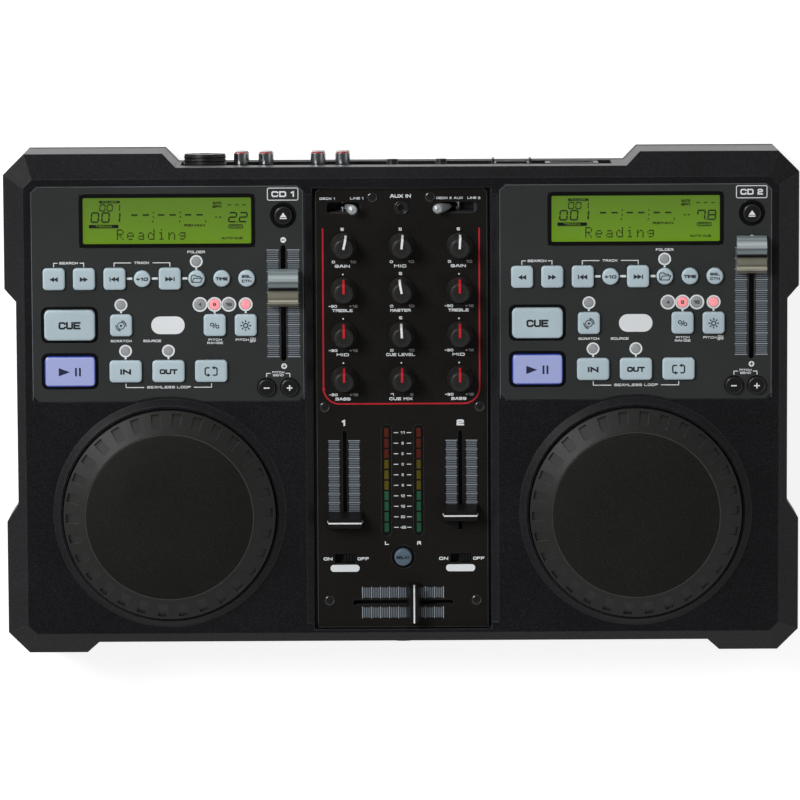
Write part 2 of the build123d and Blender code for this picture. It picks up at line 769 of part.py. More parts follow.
with BuildPart() as top_housing:
    add(case_form(0, SEAM_HEIGHT))
    add(case_form(CASE_WALL, 0), mode=Mode.SUBTRACT)
    # the mixer bay hangs below the top, with a bevel down each side
    slab(
        at(0, (PANEL_FRONT + bay_rear + CASE_WALL) / 2, -CASE_WALL / 2),
        2 * (bay_half + CASE_WALL),
        bay_rear + CASE_WALL - PANEL_FRONT,
        bay_floor - CASE_WALL / 2,
    )
    slab(at(0, bay_middle, bay_floor), 2 * bay_half, bay_length, BAY_DEPTH * 3, mode=Mode.SUBTRACT)
    for side in (-1, 1):
        with BuildSketch(section(0, bay_rear - BAY_BEVEL)) as bevel:
            Polygon(
                (side * bay_half, MIXER_TOP),
                (side * (bay_half + BAY_BEVEL), 0),
                (side * (bay_half + BAY_BEVEL), CASE_WALL),
                (side * bay_half, CASE_WALL),
                align=None,
            )
        extrude(bevel.sketch, amount=bay_length - 2 * BAY_BEVEL, mode=Mode.SUBTRACT)
    jog_wells()
    # deck plate pockets and the openings below both kinds of plate
    for _, u in DECKS:
        with BuildSketch(at(u, 0, DECK_TOP - PLATE)) as pocket:
            deck_outline(PLATE_GAP)
        extrude(pocket.sketch, amount=3 * PLATE, mode=Mode.SUBTRACT)
        with BuildSketch(at(u, 0, -2 * CASE_WALL)) as opening:
            deck_opening()
        extrude(opening.sketch, amount=3 * CASE_WALL, mode=Mode.SUBTRACT)
    slab(
        at(0, bay_middle, bay_floor - 2 * CASE_WALL),
        MIXER_WIDTH - 2 * LEDGE,
        bay_length - 2 * LEDGE,
        3 * CASE_WALL,
        mode=Mode.SUBTRACT,
    )
    # bosses for the mixer plate's screws, under its ledge
    for side in (-1, 1):
        for u, v in SCREW_PLACES:
            rod(at(side * u, v, bay_floor), SCREW_BOSS_RADIUS, -SCREW_LENGTH - CASE_WALL / 2)
            rod(
                at(side * u, v, bay_floor),
                SCREW_SHANK_RADIUS + SCREW_GAP,
                -SCREW_LENGTH,
                mode=Mode.SUBTRACT,
            )
    add(screw_bosses.part)
    # front wall: two disc slots and the headphone socket
    for side in (-1, 1):
        slab(
            front_plane(side * SLOT_CENTRE, SLOT_HEIGHT).offset(CASE_WALL),
            SLOT_WIDTH + 2 * (BEZEL_NECK + PLATE_GAP),
            SLOT_OPENING + 2 * (BEZEL_NECK + PLATE_GAP),
            -3 * CASE_WALL,
            mode=Mode.SUBTRACT,
        )
    with Locations((0, RECESS_FRONT_Y, SLOT_HEIGHT)):
        Cylinder(
            PHONES_THREAD_RADIUS + FIT,
            4 * CASE_WALL,
            rotation=(90, 0, 0),
            mode=Mode.SUBTRACT,
        )
    # rear wall: the opening in front of the rear panel
    with Locations(((REAR_LEFT + REAR_RIGHT) / 2, RECESS_REAR_Y, (REAR_BOTTOM + REAR_TOP) / 2)):
        Box(REAR_RIGHT - REAR_LEFT, 4 * CASE_WALL, REAR_TOP - REAR_BOTTOM, mode=Mode.SUBTRACT)
save(top_housing, "top_housing")

with BuildPart() as bottom_pan:
    add(case_block(0, PAN_BOTTOM))
    chamfer(bottom_pan.faces().sort_by(Axis.Z)[0].edges(), PAN_EDGE)
    add(case_block(CASE_WALL, PAN_FLOOR), mode=Mode.SUBTRACT)
    # posts under the drives and the boards
    for side in (-1, 1):
        for x in (SLOT_CENTRE - DRIVE_WIDTH / 2, SLOT_CENTRE + DRIVE_WIDTH / 2):
            for y in (DRIVE_FRONT_Y, DRIVE_FRONT_Y + DRIVE_LENGTH):
                inward_x = POST_RADIUS if x < SLOT_CENTRE else -POST_RADIUS
                inward_y = 2 * POST_RADIUS if y < 0 else -2 * POST_RADIUS
                place = (side * (x + inward_x), y + inward_y, PAN_FLOOR)
                rod(Plane(place), POST_RADIUS, DRIVE_BOTTOM - PAN_FLOOR)
    for left, width in ((MAIN_LEFT, MAIN_WIDTH), (SUPPLY_LEFT, SUPPLY_WIDTH)):
        for x in (left + 2 * POST_RADIUS, left + width - 2 * POST_RADIUS):
            for y in (BOARD_FRONT + 2 * POST_RADIUS, BOARD_FRONT + BOARD_LENGTH - 2 * POST_RADIUS):
                rod(Plane((x, y, PAN_FLOOR)), POST_RADIUS, BOARD_HEIGHT - PAN_FLOOR)
    # holes for the case screws, and cooling slots in the floor
    for side in (-1, 1):
        for row in BOSS_ROWS:
            rod(
                Plane((side * BOSS_X, row, 0)),
                PAN_SCREW_RADIUS + SCREW_GAP,
                2 * PAN_FLOOR,
                mode=Mode.SUBTRACT,
            )
    with BuildSketch(Plane.XY) as vents:
        with Locations((VENT_X, VENT_Y), (-VENT_X, VENT_Y)):
            with GridLocations(VENT_PITCH, 0, VENT_COUNT, 1):
                SlotOverall(VENT_LENGTH, VENT_WIDTH, rotation=90)
    extrude(vents.sketch, amount=2 * PAN_FLOOR, mode=Mode.SUBTRACT)
save(bottom_pan, "bottom_pan")

foot_x = CASE_HALF - FOOT_INSET
with BuildPart() as feet:
    for x in (-foot_x, foot_x):
        for y in (FRONT_Y + FOOT_INSET, REAR_Y - FOOT_INSET):
            spin(
                Plane((x, y, 0)),
                (0, FOOT_DIMPLE),
                (FOOT_DIMPLE_RADIUS, FOOT_DIMPLE),
                (FOOT_DIMPLE_RADIUS, 0),
                (FOOT_TOE_RADIUS, 0),
                (FOOT_RADIUS, PAN_BOTTOM),
                (0, PAN_BOTTOM),
            )
save(feet, "feet")

with BuildPart() as rear_panel:
    with Locations(
        (
            (REAR_LEFT + REAR_RIGHT) / 2,
            PANEL_FACE_Y - REAR_PANEL / 2,
            (REAR_BOTTOM + REAR_TOP) / 2,
        )
    ):
        Box(
            REAR_RIGHT - REAR_LEFT + 2 * REAR_LAP,
            REAR_PANEL,
            REAR_TOP - REAR_BOTTOM + 2 * REAR_LAP,
        )
    # the jack plate to the left of the seam, the power plate to the right
    slab(
        rear_plane(REAR_SEAM, (REAR_BOTTOM + REAR_TOP) / 2, REAR_PANEL),
        FIT,
        REAR_TOP - REAR_BOTTOM + 4 * REAR_LAP,
        -3 * REAR_PANEL,
        mode=Mode.SUBTRACT,
    )
    for x in PHONO_COLUMNS:
        for z in PHONO_ROWS:
            rod(
                rear_plane(x, z, REAR_PANEL),
                PHONO_RADIUS + PHONO_CLEAR,
                -3 * REAR_PANEL,
                mode=Mode.SUBTRACT,
            )
    for x in PHONO_PAIRS:
        rod(
            rear_plane(x, sum(PHONO_ROWS) / 2, REAR_PANEL),
            SCREW_SHANK_RADIUS + SCREW_GAP,
            -3 * REAR_PANEL,
            mode=Mode.SUBTRACT,
        )
    rod(
        rear_plane(COMBO_X, COMBO_Z, REAR_PANEL),
        COMBO_RADIUS + FIT,
        -3 * REAR_PANEL,
        mode=Mode.SUBTRACT,
    )
    for x in REMOTE_COLUMNS:
        rod(
            rear_plane(x, REMOTE_Z, REAR_PANEL),
            REMOTE_JACK[2] + FIT,
            -3 * REAR_PANEL,
            mode=Mode.SUBTRACT,
        )
    for x, z, frame in ((ROCKER_X, ROCKER_Z, ROCKER_FRAME), (INLET_X, INLET_Z, INLET_FRAME)):
        slab(
            rear_plane(x, z, REAR_PANEL),
            frame[0] - FRAME_LAP,
            frame[1] - FRAME_LAP,
            -3 * REAR_PANEL,
            mode=Mode.SUBTRACT,
        )
save(rear_panel, "rear_panel")

# ---------------------------------------------------------------- panel plates

with BuildPart() as deck_plates:
    for _, u in DECKS:
        with BuildSketch(at(u, 0, DECK_TOP - PLATE)) as outline:
            deck_outline(0)
        extrude(outline.sketch, amount=PLATE)
        # posts that carry the key board
        for post in DECK_POSTS:
            rod(at(u + post[0], post[1], DECK_TOP - PLATE), DECK_POST_RADIUS, PLATE - BOARD_DROP)
        # shallow dark beds round the large keys and the eject key
        for kind, key_u, key_v in (CUE_KEY, PLAY_KEY, EJECT_KEY):
            with BuildSketch(at(u + key_u, key_v, DECK_TOP - BEZEL_DEPTH)) as bed:
                key_outline(kind, BEZEL_MARGINS[kind])
            extrude(bed.sketch, amount=PLATE, mode=Mode.SUBTRACT)
        for kind, key_u, key_v in DECK_KEYS:
            with BuildSketch(at(u + key_u, key_v, DECK_TOP - 2 * PLATE)) as hole:
                key_outline(kind, KEY_GAP)
            extrude(hole.sketch, amount=3 * PLATE, mode=Mode.SUBTRACT)
        for lamp_u, lamp_v, radius in LAMPS:
            rod(
                at(u + lamp_u, lamp_v, DECK_TOP - 2 * PLATE),
                radius + LAMP_GAP,
                3 * PLATE,
                mode=Mode.SUBTRACT,
            )
        slab(
            at(u, WINDOW_V, DECK_TOP - 2 * PLATE),
            WINDOW_WIDTH,
            WINDOW_DEPTH,
            3 * PLATE,
            mode=Mode.SUBTRACT,
        )
        with BuildSketch(at(u + PITCH_U, PITCH_V, DECK_TOP - 2 * PLATE)) as slot:
            SlotOverall(*PITCH_SLOT, rotation=90)
        extrude(slot.sketch, amount=3 * PLATE, mode=Mode.SUBTRACT)
save(deck_plates, "deck_plates")

with BuildPart() as mixer_plate:
    with BuildSketch(at(0, 0, bay_floor)) as outline:
        chamfered(MIXER_WIDTH / 2, MIXER_FRONT, MIXER_REAR, MIXER_CORNER)
    extrude(outline.sketch, amount=PLATE)
    with BuildSketch(at(0, 0, bay_floor - PLATE)) as holes:
        with Locations((-CHANNEL_U, CHANNEL_V), (CHANNEL_U, CHANNEL_V)):
            SlotOverall(*CHANNEL_SLOT, rotation=90)
        with Locations((0, CROSS_V)):
            SlotOverall(*CROSS_SLOT)
        with Locations((-METER_U, METER_V), (METER_U, METER_V)):
            SlotOverall(METER_LENGTH, METER_WIDTH, rotation=90)
        for column in (-1, 0, 1):
            for row in KNOB_ROWS:
                with Locations((column * KNOB_COLUMN, row)):
                    Circle(POT_SHAFT_RADIUS + PLATE_GAP)
        for u, length, _ in SELECTORS.values():
            with Locations((u, SELECTOR_V)):
                SlotOverall(length, SELECTOR_SLOT)
        for u in (-START_U, START_U):
            with Locations((u, START_V)):
                Rectangle(*START_SLOT)
        with Locations((0, AUX_V)):
            Circle(MINI_THREAD_RADIUS + FIT)
        with Locations(RELAY_KEY[1:]):
            Circle(KEY_SIZES["relay"][0] / 2 + KEY_GAP)
        for side in (-1, 1):
            for u, v in SCREW_PLACES:
                with Locations((side * u, v)):
                    Circle(SCREW_SHANK_RADIUS + SCREW_GAP)
    extrude(holes.sketch, amount=3 * PLATE, mode=Mode.SUBTRACT)
    with BuildSketch(at(0, 0, MIXER_TOP - SCREW_SINK)) as sinks:
        for side in (-1, 1):
            for u, v in SCREW_PLACES:
                with Locations((side * u, v)):
                    Circle(SCREW_HEAD_RADIUS + FIT)
    extrude(sinks.sketch, amount=PLATE, mode=Mode.SUBTRACT)
    with BuildSketch(at(RELAY_KEY[1], RELAY_KEY[2], MIXER_TOP - BEZEL_DEPTH)) as bed:
        key_outline("relay", BEZEL_MARGINS["relay"])
    extrude(bed.sketch, amount=PLATE, mode=Mode.SUBTRACT)
save(mixer_plate, "mixer_plate")

with BuildPart() as display_windows:
    for _, u in DECKS:
        slab(
            at(u, WINDOW_V, DECK_TOP - PLATE),
            WINDOW_WIDTH - 2 * FIT,
            WINDOW_DEPTH - 2 * FIT,
            PLATE - WINDOW_SINK,
        )
        slab(
            at(u, WINDOW_V, DECK_TOP - PLATE),
            WINDOW_WIDTH + 2 * WINDOW_LIP,
            WINDOW_DEPTH + 2 * WINDOW_LIP,
            -WINDOW_FLANGE,
        )
save(display_windows, "display_windows")

display_height = BOARD_DROP - PLATE - WINDOW_FLANGE
with BuildPart() as display_modules:
    for _, u in DECKS:
        slab(
            at(u, WINDOW_V, DECK_TOP - BOARD_DROP),
            WINDOW_WIDTH + 2 * WINDOW_LIP,
            WINDOW_DEPTH + 2 * WINDOW_LIP,
            display_height,
        )
        slab(
            at(u, WINDOW_V, DECK_TOP - PLATE - WINDOW_FLANGE),
            WINDOW_WIDTH - 2 * DISPLAY_MARGIN,
            WINDOW_DEPTH - 2 * DISPLAY_MARGIN,
            -DISPLAY_MARGIN,
            mode=Mode.SUBTRACT,
        )
save(display_modules, "display_modules")

with BuildPart() as indicator_lenses:
    for _, u in DECKS:
        for lamp_u, lamp_v, radius in LAMPS:
            rod(at(u + lamp_u, lamp_v, DECK_TOP - BOARD_DROP), radius, BOARD_DROP + LAMP_RISE)
    for u in (-METER_U, METER_U):
        with BuildSketch(at(u, METER_V, MIXER_TOP - BOARD_DROP)) as bar:
            SlotOverall(METER_LENGTH - 2 * LAMP_GAP, METER_WIDTH - 2 * LAMP_GAP, rotation=90)
        extrude(bar.sketch, amount=BOARD_DROP)
save(indicator_lenses, "indicator_lenses")

# ---------------------------------------------------------------- boards and what stands on them

with BuildPart() as circuit_boards:
    for _, u in DECKS:
        # the key board of a deck, with a tact switch under each key
        board_top = DECK_TOP - BOARD_DROP
        slab(
            at(u, (KEY_BOARD_NEAR + KEY_BOARD_FAR) / 2, board_top),
            KEY_BOARD_WIDTH,
            KEY_BOARD_FAR - KEY_BOARD_NEAR,
            -BOARD,
        )
        for _, key_u, key_v in DECK_KEYS:
            slab(at(u + key_u, key_v, board_top), TACT_WIDTH, TACT_WIDTH, TACT_HEIGHT)
    mixer_board_top = MIXER_TOP - BOARD_DROP
    slab(
        at(0, (MIXER_BOARD_NEAR + MIXER_BOARD_FAR) / 2, mixer_board_top),
        MIXER_WIDTH - 2 * LEDGE - 2 * PLATE_GAP,
        MIXER_BOARD_FAR - MIXER_BOARD_NEAR,
        -BOARD,
    )
    slab(at(*RELAY_KEY[1:], mixer_board_top), TACT_WIDTH, TACT_WIDTH, TACT_HEIGHT)
    # the main board on its posts, with its chips and a row of connectors
    main_middle = (MAIN_LEFT + MAIN_WIDTH / 2, BOARD_FRONT + BOARD_LENGTH / 2)
    slab(Plane((*main_middle, BOARD_HEIGHT)), MAIN_WIDTH, BOARD_LENGTH, BOARD)
    for x, y, width, depth, height in MAIN_CHIPS:
        place = (MAIN_LEFT + x, BOARD_FRONT + y, BOARD_HEIGHT + BOARD)
        slab(Plane(place), width, depth, height)
save(circuit_boards, "circuit_boards")

with BuildPart() as power_supply:
    supply_middle = (SUPPLY_LEFT + SUPPLY_WIDTH / 2, BOARD_FRONT + BOARD_LENGTH / 2)
    slab(Plane((*supply_middle, BOARD_HEIGHT)), SUPPLY_WIDTH, BOARD_LENGTH, BOARD)
    supply_top = BOARD_HEIGHT + BOARD
    # transformer: laminated core round a bobbin
    core = Plane((SUPPLY_LEFT + TRANSFORMER[0], BOARD_FRONT + TRANSFORMER[1], supply_top))
    slab(core, *CORE_SIZE)
    slab(core.offset(CORE_LEG), *BOBBIN_SIZE, BOBBIN_CORNER)
    for x, y, radius, height in CAPACITORS:
        rod(Plane((SUPPLY_LEFT + x, BOARD_FRONT + y, supply_top)), radius, height)
    # finned heat sink
    sink = (SUPPLY_LEFT + HEAT_SINK[0], BOARD_FRONT + HEAT_SINK[1], supply_top)
    slab(Plane(sink), SINK_LENGTH, 2 * FIN, SINK_HEIGHT)
    with Locations(sink):
        with GridLocations((SINK_LENGTH - FIN) / (FINS - 1), 0, FINS, 1):
            Box(FIN, FIN_REACH, SINK_HEIGHT, align=(Align.CENTER, Align.MIN, Align.MIN))
save(power_supply, "power_supply")

with BuildPart() as potentiometers:
    for column in (-1, 0, 1):
        for row in KNOB_ROWS:
            u = column * KNOB_COLUMN
            foot = at(u, row, MIXER_TOP - BOARD_DROP)
            slab(foot, POT_WIDTH, POT_WIDTH, POT_HEIGHT)
            rod(foot, POT_BUSH_RADIUS, BOARD_DROP - PLATE)
            rod(
                at(u, row, MIXER_TOP),
                POT_SHAFT_RADIUS + SHAFT_GAP,
                POT_FLOOR - BOARD_DROP,
                mode=Mode.SUBTRACT,
            )
save(potentiometers, "potentiometers")


def fader_track(u, v, top, slot, along_v):
    """A fader's body under a plate, with the channel that its blade runs in."""
    length, width = slot
    body = length + 2 * TRACK_END
    size = (TRACK_WIDTH, body) if along_v else (body, TRACK_WIDTH)
    channel = (width, length) if along_v else (length, width)
    slab(at(u, v, top - BOARD_DROP), *size, BOARD_DROP + TRACK_TOP)
    slab(at(u, v, top + TRACK_TOP), *channel, PLATE - BLADE_DEPTH, mode=Mode.SUBTRACT)


with BuildPart() as fader_tracks:
    for _, u in DECKS:
        fader_track(u + PITCH_U, PITCH_V, DECK_TOP, PITCH_SLOT, True)
    for u in (-CHANNEL_U, CHANNEL_U):
        fader_track(u, CHANNEL_V, MIXER_TOP, CHANNEL_SLOT, True)
    fader_track(0, CROSS_V, MIXER_TOP, CROSS_SLOT, False)
save(fader_tracks, "fader_tracks")

with BuildPart() as switch_bodies:
    for u, _, _ in SELECTORS.values():
        width, depth, height = SELECTOR_BODY
        slab(at(u, SELECTOR_V, bay_floor), width, depth, -height)
        slab(
            at(u, SELECTOR_V, bay_floor),
            *SELECTOR_CAVITY,
            PLATE - PIVOT_DROP - LEVER_HUB_RADIUS - PLATE_GAP,
            mode=Mode.SUBTRACT,
        )
        hinge = section(u, SELECTOR_V + depth, MIXER_TOP - PIVOT_DROP)
        rod(hinge, PIN_RADIUS + SHAFT_GAP, 2 * depth, mode=Mode.SUBTRACT)
    for u in (-START_U, START_U):
        slab(at(u, START_V, MIXER_TOP - BOARD_DROP), *START_BODY, BOARD_DROP - PLATE)
        slab(
            at(u, START_V, bay_floor),
            START_SLOT[0] + START_STEP,
            START_SLOT[1] + START_STEP,
            -START_CAVITY,
            mode=Mode.SUBTRACT,
        )
save(switch_bodies, "switch_bodies")

# ---------------------------------------------------------------- sockets

phono_middle = (PHONO_ROWS[0] + PHONO_ROWS[1]) / 2
with BuildPart() as phono_jacks:
    for x in PHONO_PAIRS:
        behind = rear_plane(x, phono_middle, -REAR_PANEL)
        rows = PHONO_ROWS[1] - PHONO_ROWS[0]
        slab(behind, PHONO_GAUGE + PHONO_BLOCK, rows + PHONO_BLOCK, -PHONO_BLOCK)
        rod(behind, SCREW_SHANK_RADIUS + SCREW_GAP, -SCREW_LENGTH, mode=Mode.SUBTRACT)
    for x in PHONO_COLUMNS:
        for z in PHONO_ROWS:
            rod(rear_plane(x, z, -REAR_PANEL), PHONO_RADIUS, REAR_PANEL + PHONO_REACH)
            end = rear_plane(x, z, PHONO_REACH)
            rod(end, PHONO_HOLE_RADIUS, -PHONO_DEPTH, mode=Mode.SUBTRACT)
            with BuildSketch(end) as rim:
                Circle(PHONO_RADIUS - PHONO_SHELL)
                Circle(PHONO_HOLE_RADIUS + PHONO_SHELL, mode=Mode.SUBTRACT)
            extrude(rim.sketch, amount=-PHONO_RIM, mode=Mode.SUBTRACT)
save(phono_jacks, "phono_jacks")


def threaded_jack(plane, wall, sizes, bore):
    """A jack's body behind a wall, its thread through the wall, its nut and its bore."""
    nut, nut_height, thread, body, length = sizes
    rod(plane.offset(-wall), body, -length)
    rod(plane.offset(-wall), thread, wall + nut_height)
    rod(plane, nut, nut_height)
    rod(plane.offset(nut_height), bore, -length, mode=Mode.SUBTRACT)


with BuildPart() as jack_sockets:
    # combination microphone jack, with its phone socket in the middle
    combo = rear_plane(COMBO_X, COMBO_Z)
    rod(combo, COMBO_RADIUS, COMBO_REACH)
    rod(combo, COMBO_RADIUS + COMBO_FLANGE, COMBO_FLANGE)
    rod(combo, COMBO_RADIUS, -COMBO_BODY)
    rod(combo.offset(COMBO_REACH), PHONES_RADIUS, -COMBO_BODY, mode=Mode.SUBTRACT)
    with BuildSketch(combo.offset(COMBO_REACH)) as pins:
        with PolarLocations(COMBO_PIN_CIRCLE, 3, start_angle=90):
            Circle(COMBO_PIN_RADIUS)
    extrude(pins.sketch, amount=-COMBO_BODY / 2, mode=Mode.SUBTRACT)
    for x in REMOTE_COLUMNS:
        threaded_jack(rear_plane(x, REMOTE_Z), REAR_PANEL, REMOTE_JACK, MINI_RADIUS)
    threaded_jack(at(0, AUX_V, MIXER_TOP), PLATE, AUX_JACK, MINI_RADIUS)
    threaded_jack(front_plane(0, SLOT_HEIGHT), CASE_WALL, PHONES_JACK, PHONES_RADIUS)
save(jack_sockets, "jack_sockets")

with BuildPart() as power_inlet:
    # rocker switch frame with a cheek on each side, open through the middle
    rocker_face = rear_plane(ROCKER_X, ROCKER_Z)
    slab(rocker_face, *ROCKER_FRAME, SOCKET_FLANGE)
    slab(
        rocker_face,
        ROCKER_FRAME[0] - FRAME_LAP - 2 * FIT,
        ROCKER_FRAME[1] - FRAME_LAP - 2 * FIT,
        -ROCKER_BODY,
    )
    for side in (-1, 1):
        cheek_x = ROCKER_X + side * (ROCKER_FRAME[0] - CHEEK) / 2
        slab(rear_plane(cheek_x, ROCKER_Z, SOCKET_FLANGE), CHEEK, ROCKER_SIZE[1], CHEEK_RISE)
    slab(
        rocker_face.offset(SOCKET_FLANGE),
        ROCKER_SIZE[0] + 2 * ROCKER_GAP,
        ROCKER_SIZE[1] + 2 * ROCKER_GAP,
        -SOCKET_FLANGE - ROCKER_DEPTH,
        mode=Mode.SUBTRACT,
    )
    rod(
        axle_plane(ROCKER_SIZE[0] / 2 + AXLE_END + SHAFT_GAP),
        AXLE_RADIUS + SHAFT_GAP,
        -ROCKER_SIZE[0] - 2 * AXLE_END - 2 * SHAFT_GAP,
        mode=Mode.SUBTRACT,
    )
    # three-pin inlet
    inlet_face = rear_plane(INLET_X, INLET_Z)
    slab(inlet_face, *INLET_FRAME, SOCKET_FLANGE)
    slab(
        inlet_face,
        INLET_FRAME[0] - FRAME_LAP - 2 * FIT,
        INLET_FRAME[1] - FRAME_LAP - 2 * FIT,
        -INLET_BODY,
    )
    slab(
        inlet_face.offset(SOCKET_FLANGE),
        *INLET_CAVITY,
        -INLET_DEPTH,
        INLET_CORNER,
        mode=Mode.SUBTRACT,
    )
with BuildPart() as inlet_pins:
    for pin_x, pin_z in INLET_PINS:
        foot = rear_plane(INLET_X + pin_x, INLET_Z + pin_z, SOCKET_FLANGE - INLET_DEPTH)
        slab(foot, *INLET_PIN, INLET_DEPTH - INLET_PIN_SHY)
save_group("power_inlet", power_inlet, inlet_pins)

with BuildPart() as slot_bezels:
    for x in (-SLOT_CENTRE, SLOT_CENTRE):
        mouth = front_plane(x, SLOT_HEIGHT)
        slab(mouth, BEZEL_WIDTH, BEZEL_HEIGHT, BEZEL_PLATE, BEZEL_CORNER)
        slab(
            mouth,
            SLOT_WIDTH + 2 * BEZEL_NECK,
            SLOT_OPENING + 2 * BEZEL_NECK,
            -CASE_WALL - NECK_BEYOND,
        )
        slab(
            mouth.offset(2 * BEZEL_PLATE),
            SLOT_WIDTH,
            SLOT_OPENING,
            -4 * CASE_WALL,
            mode=Mode.SUBTRACT,
        )
save(slot_bezels, "slot_bezels")

# ---------------------------------------------------------------- disc drives

drive_middle_y = DRIVE_FRONT_Y + DRIVE_LENGTH / 2
drive_top = DRIVE_BOTTOM + DRIVE_HEIGHT - DRIVE_WALL
slot_low = SLOT_HEIGHT - SLOT_OPENING / 2
slot_high = SLOT_HEIGHT + SLOT_OPENING / 2
# a frame is sheet metal in flat pieces: base and cover, side rails, end rails, and a post on
# each side of the slot
with BuildPart() as drive_decks:
    for x in (-SLOT_CENTRE, SLOT_CENTRE):
        for z in (DRIVE_BOTTOM, drive_top):
            slab(Plane((x, drive_middle_y, z)), DRIVE_WIDTH, DRIVE_LENGTH, DRIVE_WALL)
with BuildPart() as drive_sides:
    for x in (-SLOT_CENTRE, SLOT_CENTRE):
        for side in (-1, 1):
            slab(
                Plane((x + side * (DRIVE_WIDTH - DRIVE_WALL) / 2, drive_middle_y, DRIVE_FLOOR)),
                DRIVE_WALL,
                DRIVE_LENGTH - 2 * DRIVE_WALL,
                drive_top - DRIVE_FLOOR,
            )
with BuildPart() as drive_ends:
    for x in (-SLOT_CENTRE, SLOT_CENTRE):
        for y, low, high in (
            (DRIVE_FRONT_Y + DRIVE_WALL / 2, DRIVE_FLOOR, slot_low),
            (DRIVE_FRONT_Y + DRIVE_WALL / 2, slot_high, drive_top),
            (DRIVE_FRONT_Y + DRIVE_LENGTH - DRIVE_WALL / 2, DRIVE_FLOOR, drive_top),
        ):
            slab(Plane((x, y, low)), DRIVE_WIDTH, DRIVE_WALL, high - low)
with BuildPart() as drive_posts:
    post = (DRIVE_WIDTH - SLOT_WIDTH) / 2
    for x in (-SLOT_CENTRE, SLOT_CENTRE):
        for side in (-1, 1):
            foot = (x + side * (SLOT_WIDTH + post) / 2, DRIVE_FRONT_Y + DRIVE_WALL / 2, slot_low)
            slab(Plane(foot), post, DRIVE_WALL, SLOT_OPENING)
with BuildPart() as drive_motors:
    for x in (-SLOT_CENTRE, SLOT_CENTRE):
        rod(Plane((x, SPINDLE_Y, DRIVE_FLOOR)), MOTOR_RADIUS, MOTOR_HEIGHT)
        rod(
            Plane((x, SPINDLE_Y, DRIVE_FLOOR)),
            SPINDLE_RADIUS + SHAFT_GAP,
            MOTOR_HEIGHT,
            mode=Mode.SUBTRACT,
        )
with BuildPart() as drive_sleds:
    for x in (-SLOT_CENTRE, SLOT_CENTRE):
        # the pickup on its two rods between end blocks
        for y in (SLED_NEAR, SLED_FAR):
            slab(Plane((x, SPINDLE_Y + y, DRIVE_FLOOR)), SLED_WIDTH, SLED_BLOCK, SLED_HEIGHT)
        for rod_x in (-SLED_GAUGE / 2, SLED_GAUGE / 2):
            start = (x + rod_x, SPINDLE_Y + SLED_NEAR, DRIVE_FLOOR + SLED_ROD_HEIGHT)
            rod(Plane(start, z_dir=(0, 1, 0)), SLED_ROD_RADIUS, SLED_FAR - SLED_NEAR)
        carriage = (x, SPINDLE_Y + (SLED_NEAR + SLED_FAR) / 2, DRIVE_FLOOR + SLED_ROD_HEIGHT / 2)
        slab(Plane(carriage), SLED_WIDTH, CARRIAGE, SLED_ROD_HEIGHT)
        rod(Plane(carriage), LENS_RADIUS, SLED_ROD_HEIGHT + LENS_RISE)
save_group(
    "drive_frames", drive_decks, drive_sides, drive_ends, drive_posts, drive_motors, drive_sleds
)

for number, side in SIDES:
    with BuildPart() as drive_turntable:
        table = DRIVE_FLOOR + MOTOR_HEIGHT + MOTOR_GAP
        spin(
            Plane((side * SLOT_CENTRE, SPINDLE_Y, 0)),
            (0, DRIVE_FLOOR + MOTOR_GAP),
            (SPINDLE_RADIUS, DRIVE_FLOOR + MOTOR_GAP),
            (SPINDLE_RADIUS, table),
            (TURNTABLE_RADIUS, table),
            (TURNTABLE_RADIUS, table + TURNTABLE),
            (SPINDLE_CONE_RADIUS, table + TURNTABLE),
            (SPINDLE_CONE_RADIUS - SPINDLE_CONE / 2, table + TURNTABLE + SPINDLE_CONE),
            (0, table + TURNTABLE + SPINDLE_CONE),
        )
    save(drive_turntable, f"drive_turntable_{number}")

# ---------------------------------------------------------------- jog wheels

bush_top = -JOG_WELL_DEPTH + BUSH_RISE
bush_bottom = -JOG_WELL_DEPTH - CASE_WALL - BUSH_BELOW
with BuildPart() as jog_bearings:
    for _, u in DECKS:
        spin(
            at(u, JOG_V),
            (SHAFT_RADIUS + SHAFT_GAP, bush_bottom),
            (BUSH_RADIUS, bush_bottom),
            (BUSH_RADIUS, -JOG_WELL_DEPTH - CASE_WALL - BUSH_FLANGE),
            (BUSH_FLANGE_RADIUS, -JOG_WELL_DEPTH - CASE_WALL - BUSH_FLANGE),
            (BUSH_FLANGE_RADIUS, -JOG_WELL_DEPTH - CASE_WALL),
            (BUSH_RADIUS, -JOG_WELL_DEPTH - CASE_WALL),
            (BUSH_RADIUS, bush_top),
            (SHAFT_RADIUS + SHAFT_GAP, bush_top),
        )
save(jog_bearings, "jog_bearings")

